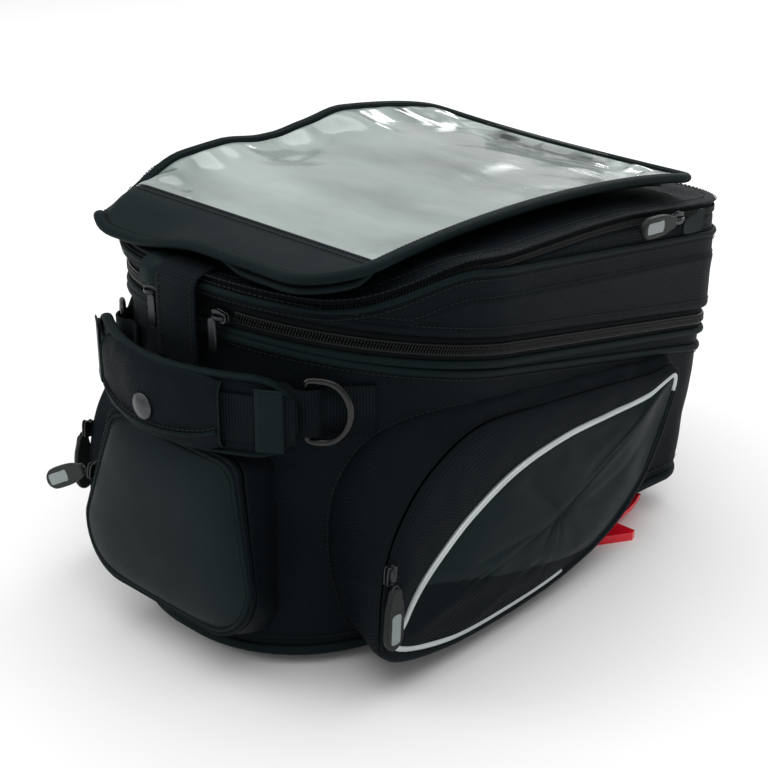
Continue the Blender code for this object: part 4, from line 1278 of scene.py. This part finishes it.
def puller(name, node, origin, along, normal, body):
    """A moulded rubber puller with a blank inset plate, and the wire loop that holds it."""
    shape = rounded(both(PULLER_HALF))
    slab(name, shape, 4.3, origin, along, normal, RUBBER, body, edge=1.1, replaces=[node])
    origin, along, normal = Vector(origin), Vector(along).normalized(), Vector(normal)
    upright = normal.normalized()
    plate = rounded(both(LABEL_HALF), 3)
    slab(f"{name}_inset", plate, 0.9, origin + upright * 1.95, along, normal, LABEL, body, edge=0.25)
    side = upright.cross(along)
    loop = [origin - along * (0.8 - 2.4 * math.cos(a)) + side * 2.1 * math.sin(a) for a in turn(14)]
    sweep(f"{name}_loop", loop, oval(0.75, 0.75, 6), METAL, body, normal)


SLIDER_SHAPE = [(-6, -2.6), (-3, -3.4), (2, -4.2), (5.2, -3.9), (6, -2.2), (4.4, 0), (6, 2.2),
                (5.2, 3.9), (2, 4.2), (-3, 3.4), (-6, 2.6)]


def slider(name, node, origin, along, normal, body):
    """A zip slider: two shield-shaped plates and the bridge that the puller hangs from."""
    origin, along, normal = Vector(origin), Vector(along).normalized(), Vector(normal).normalized()
    shape = rounded(SLIDER_SHAPE, 3)
    slab(name, shape, 1.3, origin + normal * 1.2, along, normal, METAL, body, edge=0.4, replaces=[node])
    slab(f"{name}_back", shape, 1.2, origin - normal * 1.3, along, normal, METAL, body, edge=0.4)
    bridge = [origin + along * 4.6 * math.cos(a) + normal * (1.6 + 2.6 * math.sin(a))
              for a in spread(0, math.pi, 8)]
    sweep(f"{name}_bridge", bridge, oval(1.3, 0.6, 8), METAL, body, normal.cross(along), closed=False)
    neck = [(-2, -1), (2, -1), (2, 1), (-2, 1)]
    slab(f"{name}_neck", neck, 2.6, origin + along * 3.2, along, normal, METAL, body, edge=0.2)


def build_sliders():
    joints = {j["name"]: j for j in frame["joints"]}

    def pivot(joint):
        return Vector(joints[joint]["pos_m"]) / MM

    def middle(node):
        low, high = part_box(node)
        return (low + high) / 2 / MM

    run = Vector(joints["lid_zip_travel"]["axis"])
    slider("lid_slider_body", "lid_zip_slider", middle("lid_zip_slider"), -run, RIGHT, "lid_slider")
    top = pivot("lid_puller_swing") + run * 1.5
    puller("lid_puller_body", "lid_zip_puller", top, run, RIGHT, "lid_puller")
    for side, name in ((1, "right"), (-1, "left")):
        out = RIGHT * side
        node = f"side_zip_slider_{name}"
        around = middle(node) - pivot(f"side_zip_{name}_travel")
        tangent = Vector((0, around.z, -around.y))
        slider(f"side_slider_body_{name}", node, middle(node), tangent, out, f"side_slider_{name}")
        top = pivot(f"side_puller_{name}_swing")
        puller(f"side_puller_body_{name}", f"side_zip_puller_{name}", top, (0, -0.05, -1), out,
               f"side_puller_{name}")
        node = f"expansion_slider_{name}"
        slider(f"expansion_slider_body_{name}", node, middle(node), -out, BACK, node)
        node = f"expansion_pull_{name}"
        slab(f"expansion_tab_{name}", rounded(both(TAB_HALF)), 1.9, pivot(f"{node}_swing"), -UP, BACK,
             METAL, node, edge=0.6, replaces=[node])
    run = Vector(joints["rear_zip_travel"]["axis"])
    slider("rear_slider_body", "rear_zip_slider", middle("rear_zip_slider"), run, (-1, 0, 0.1),
           "rear_slider")
    hang = Vector((-0.87, -0.1, -0.49))
    puller("rear_puller_body", "rear_zip_puller", pivot("rear_puller_swing") + hang * 3.4, hang, BACK,
           "rear_puller")
    build_garage(middle("lid_zip_garage"))


def build_garage(centre):
    """The triangular tab sewn over the end of the lid's zip."""
    shape = rounded([(-11, -7), (0, -8.4), (11, -7.4), (12.5, 0), (11, 7.4), (0, 4.2), (-11, 1.5)], 3)
    slab("garage_tab", shape, 1.8, centre - RIGHT, (0, 1, -0.1), RIGHT, PANEL, "upper_section", edge=0.5,
         replaces=["lid_zip_garage"])


# ---- build --------------------------------------------------------------------------------------
build_tub()
build_expansion_zip()
build_upper_section()
build_lid()
build_map_pocket()
for pocket_side, pocket_name in ((1, "right"), (-1, "left")):
    build_side_pocket(pocket_side, pocket_name)
    build_ring(pocket_side, pocket_name)
build_rear_pocket()
build_handle()
build_sliders()


# ---- studio: the photo's camera, and lights outside its view ------------------------------------
AZIMUTH, ELEVATION, DISTANCE = math.radians(43.3), math.radians(24.3), 1.157
TARGET = Vector((-0.018, 0.0, 0.110))
FOCAL_PIXELS, FRAME_PIXELS, SENSOR = 1610.0, 768.0, 36.0
FLOOR_REACH = 12.0
# Each light's name, place, target, size in metres and watts.
LIGHTS = (
    ("softbox", (0, 0, 3.2), (0, 0, 0), (5.0, 5.0), 115),
    ("key", (-1.3, -1.5, 1.3), (0, 0, 0.12), (1.0, 1.0), 9),
    ("streak", (-0.5, 1.9, 0.95), (0, 0, 0.25), (1.2, 0.25), 9),
)


def look_at(made, place, target):
    made.location = place
    made.rotation_euler = (Vector(target) - Vector(place)).to_track_quat("-Z", "Y").to_euler()


def build_studio():
    scene = bpy.context.scene
    floor_mesh = bpy.data.meshes.new("floor")
    corners = [(x * FLOOR_REACH, y * FLOOR_REACH, 0) for x, y in ((-1, -1), (1, -1), (1, 1), (-1, 1))]
    floor_mesh.from_pydata(corners, [], [(0, 1, 2, 3)])
    floor_mesh.materials.append(material("pale_floor", (0.9, 0.9, 0.9), 0.9))
    floor = linked("floor", floor_mesh)
    world = bpy.data.worlds.new("studio")
    world.use_nodes = True
    background = world.node_tree.nodes["Background"]
    background.inputs["Color"].default_value = (1.0, 1.0, 1.0, 1)
    background.inputs["Strength"].default_value = 0.5
    scene.world = world
    for name, place, target, size, watts in LIGHTS:
        light = bpy.data.lights.new(name, "AREA")
        light.shape = "RECTANGLE"
        light.size, light.size_y = size
        light.energy = watts
        look_at(linked(name, light), place, target)
    camera = linked("camera", bpy.data.cameras.new("camera"))
    camera.data.sensor_width = SENSOR
    camera.data.lens = FOCAL_PIXELS / FRAME_PIXELS * SENSOR
    level_part = math.cos(ELEVATION)
    away = Vector((math.sin(AZIMUTH) * level_part, -math.cos(AZIMUTH) * level_part, math.sin(ELEVATION)))
    look_at(camera, TARGET + away * DISTANCE, TARGET)
    scene.camera = camera
    scene.view_settings.view_transform = "Standard"


build_studio()
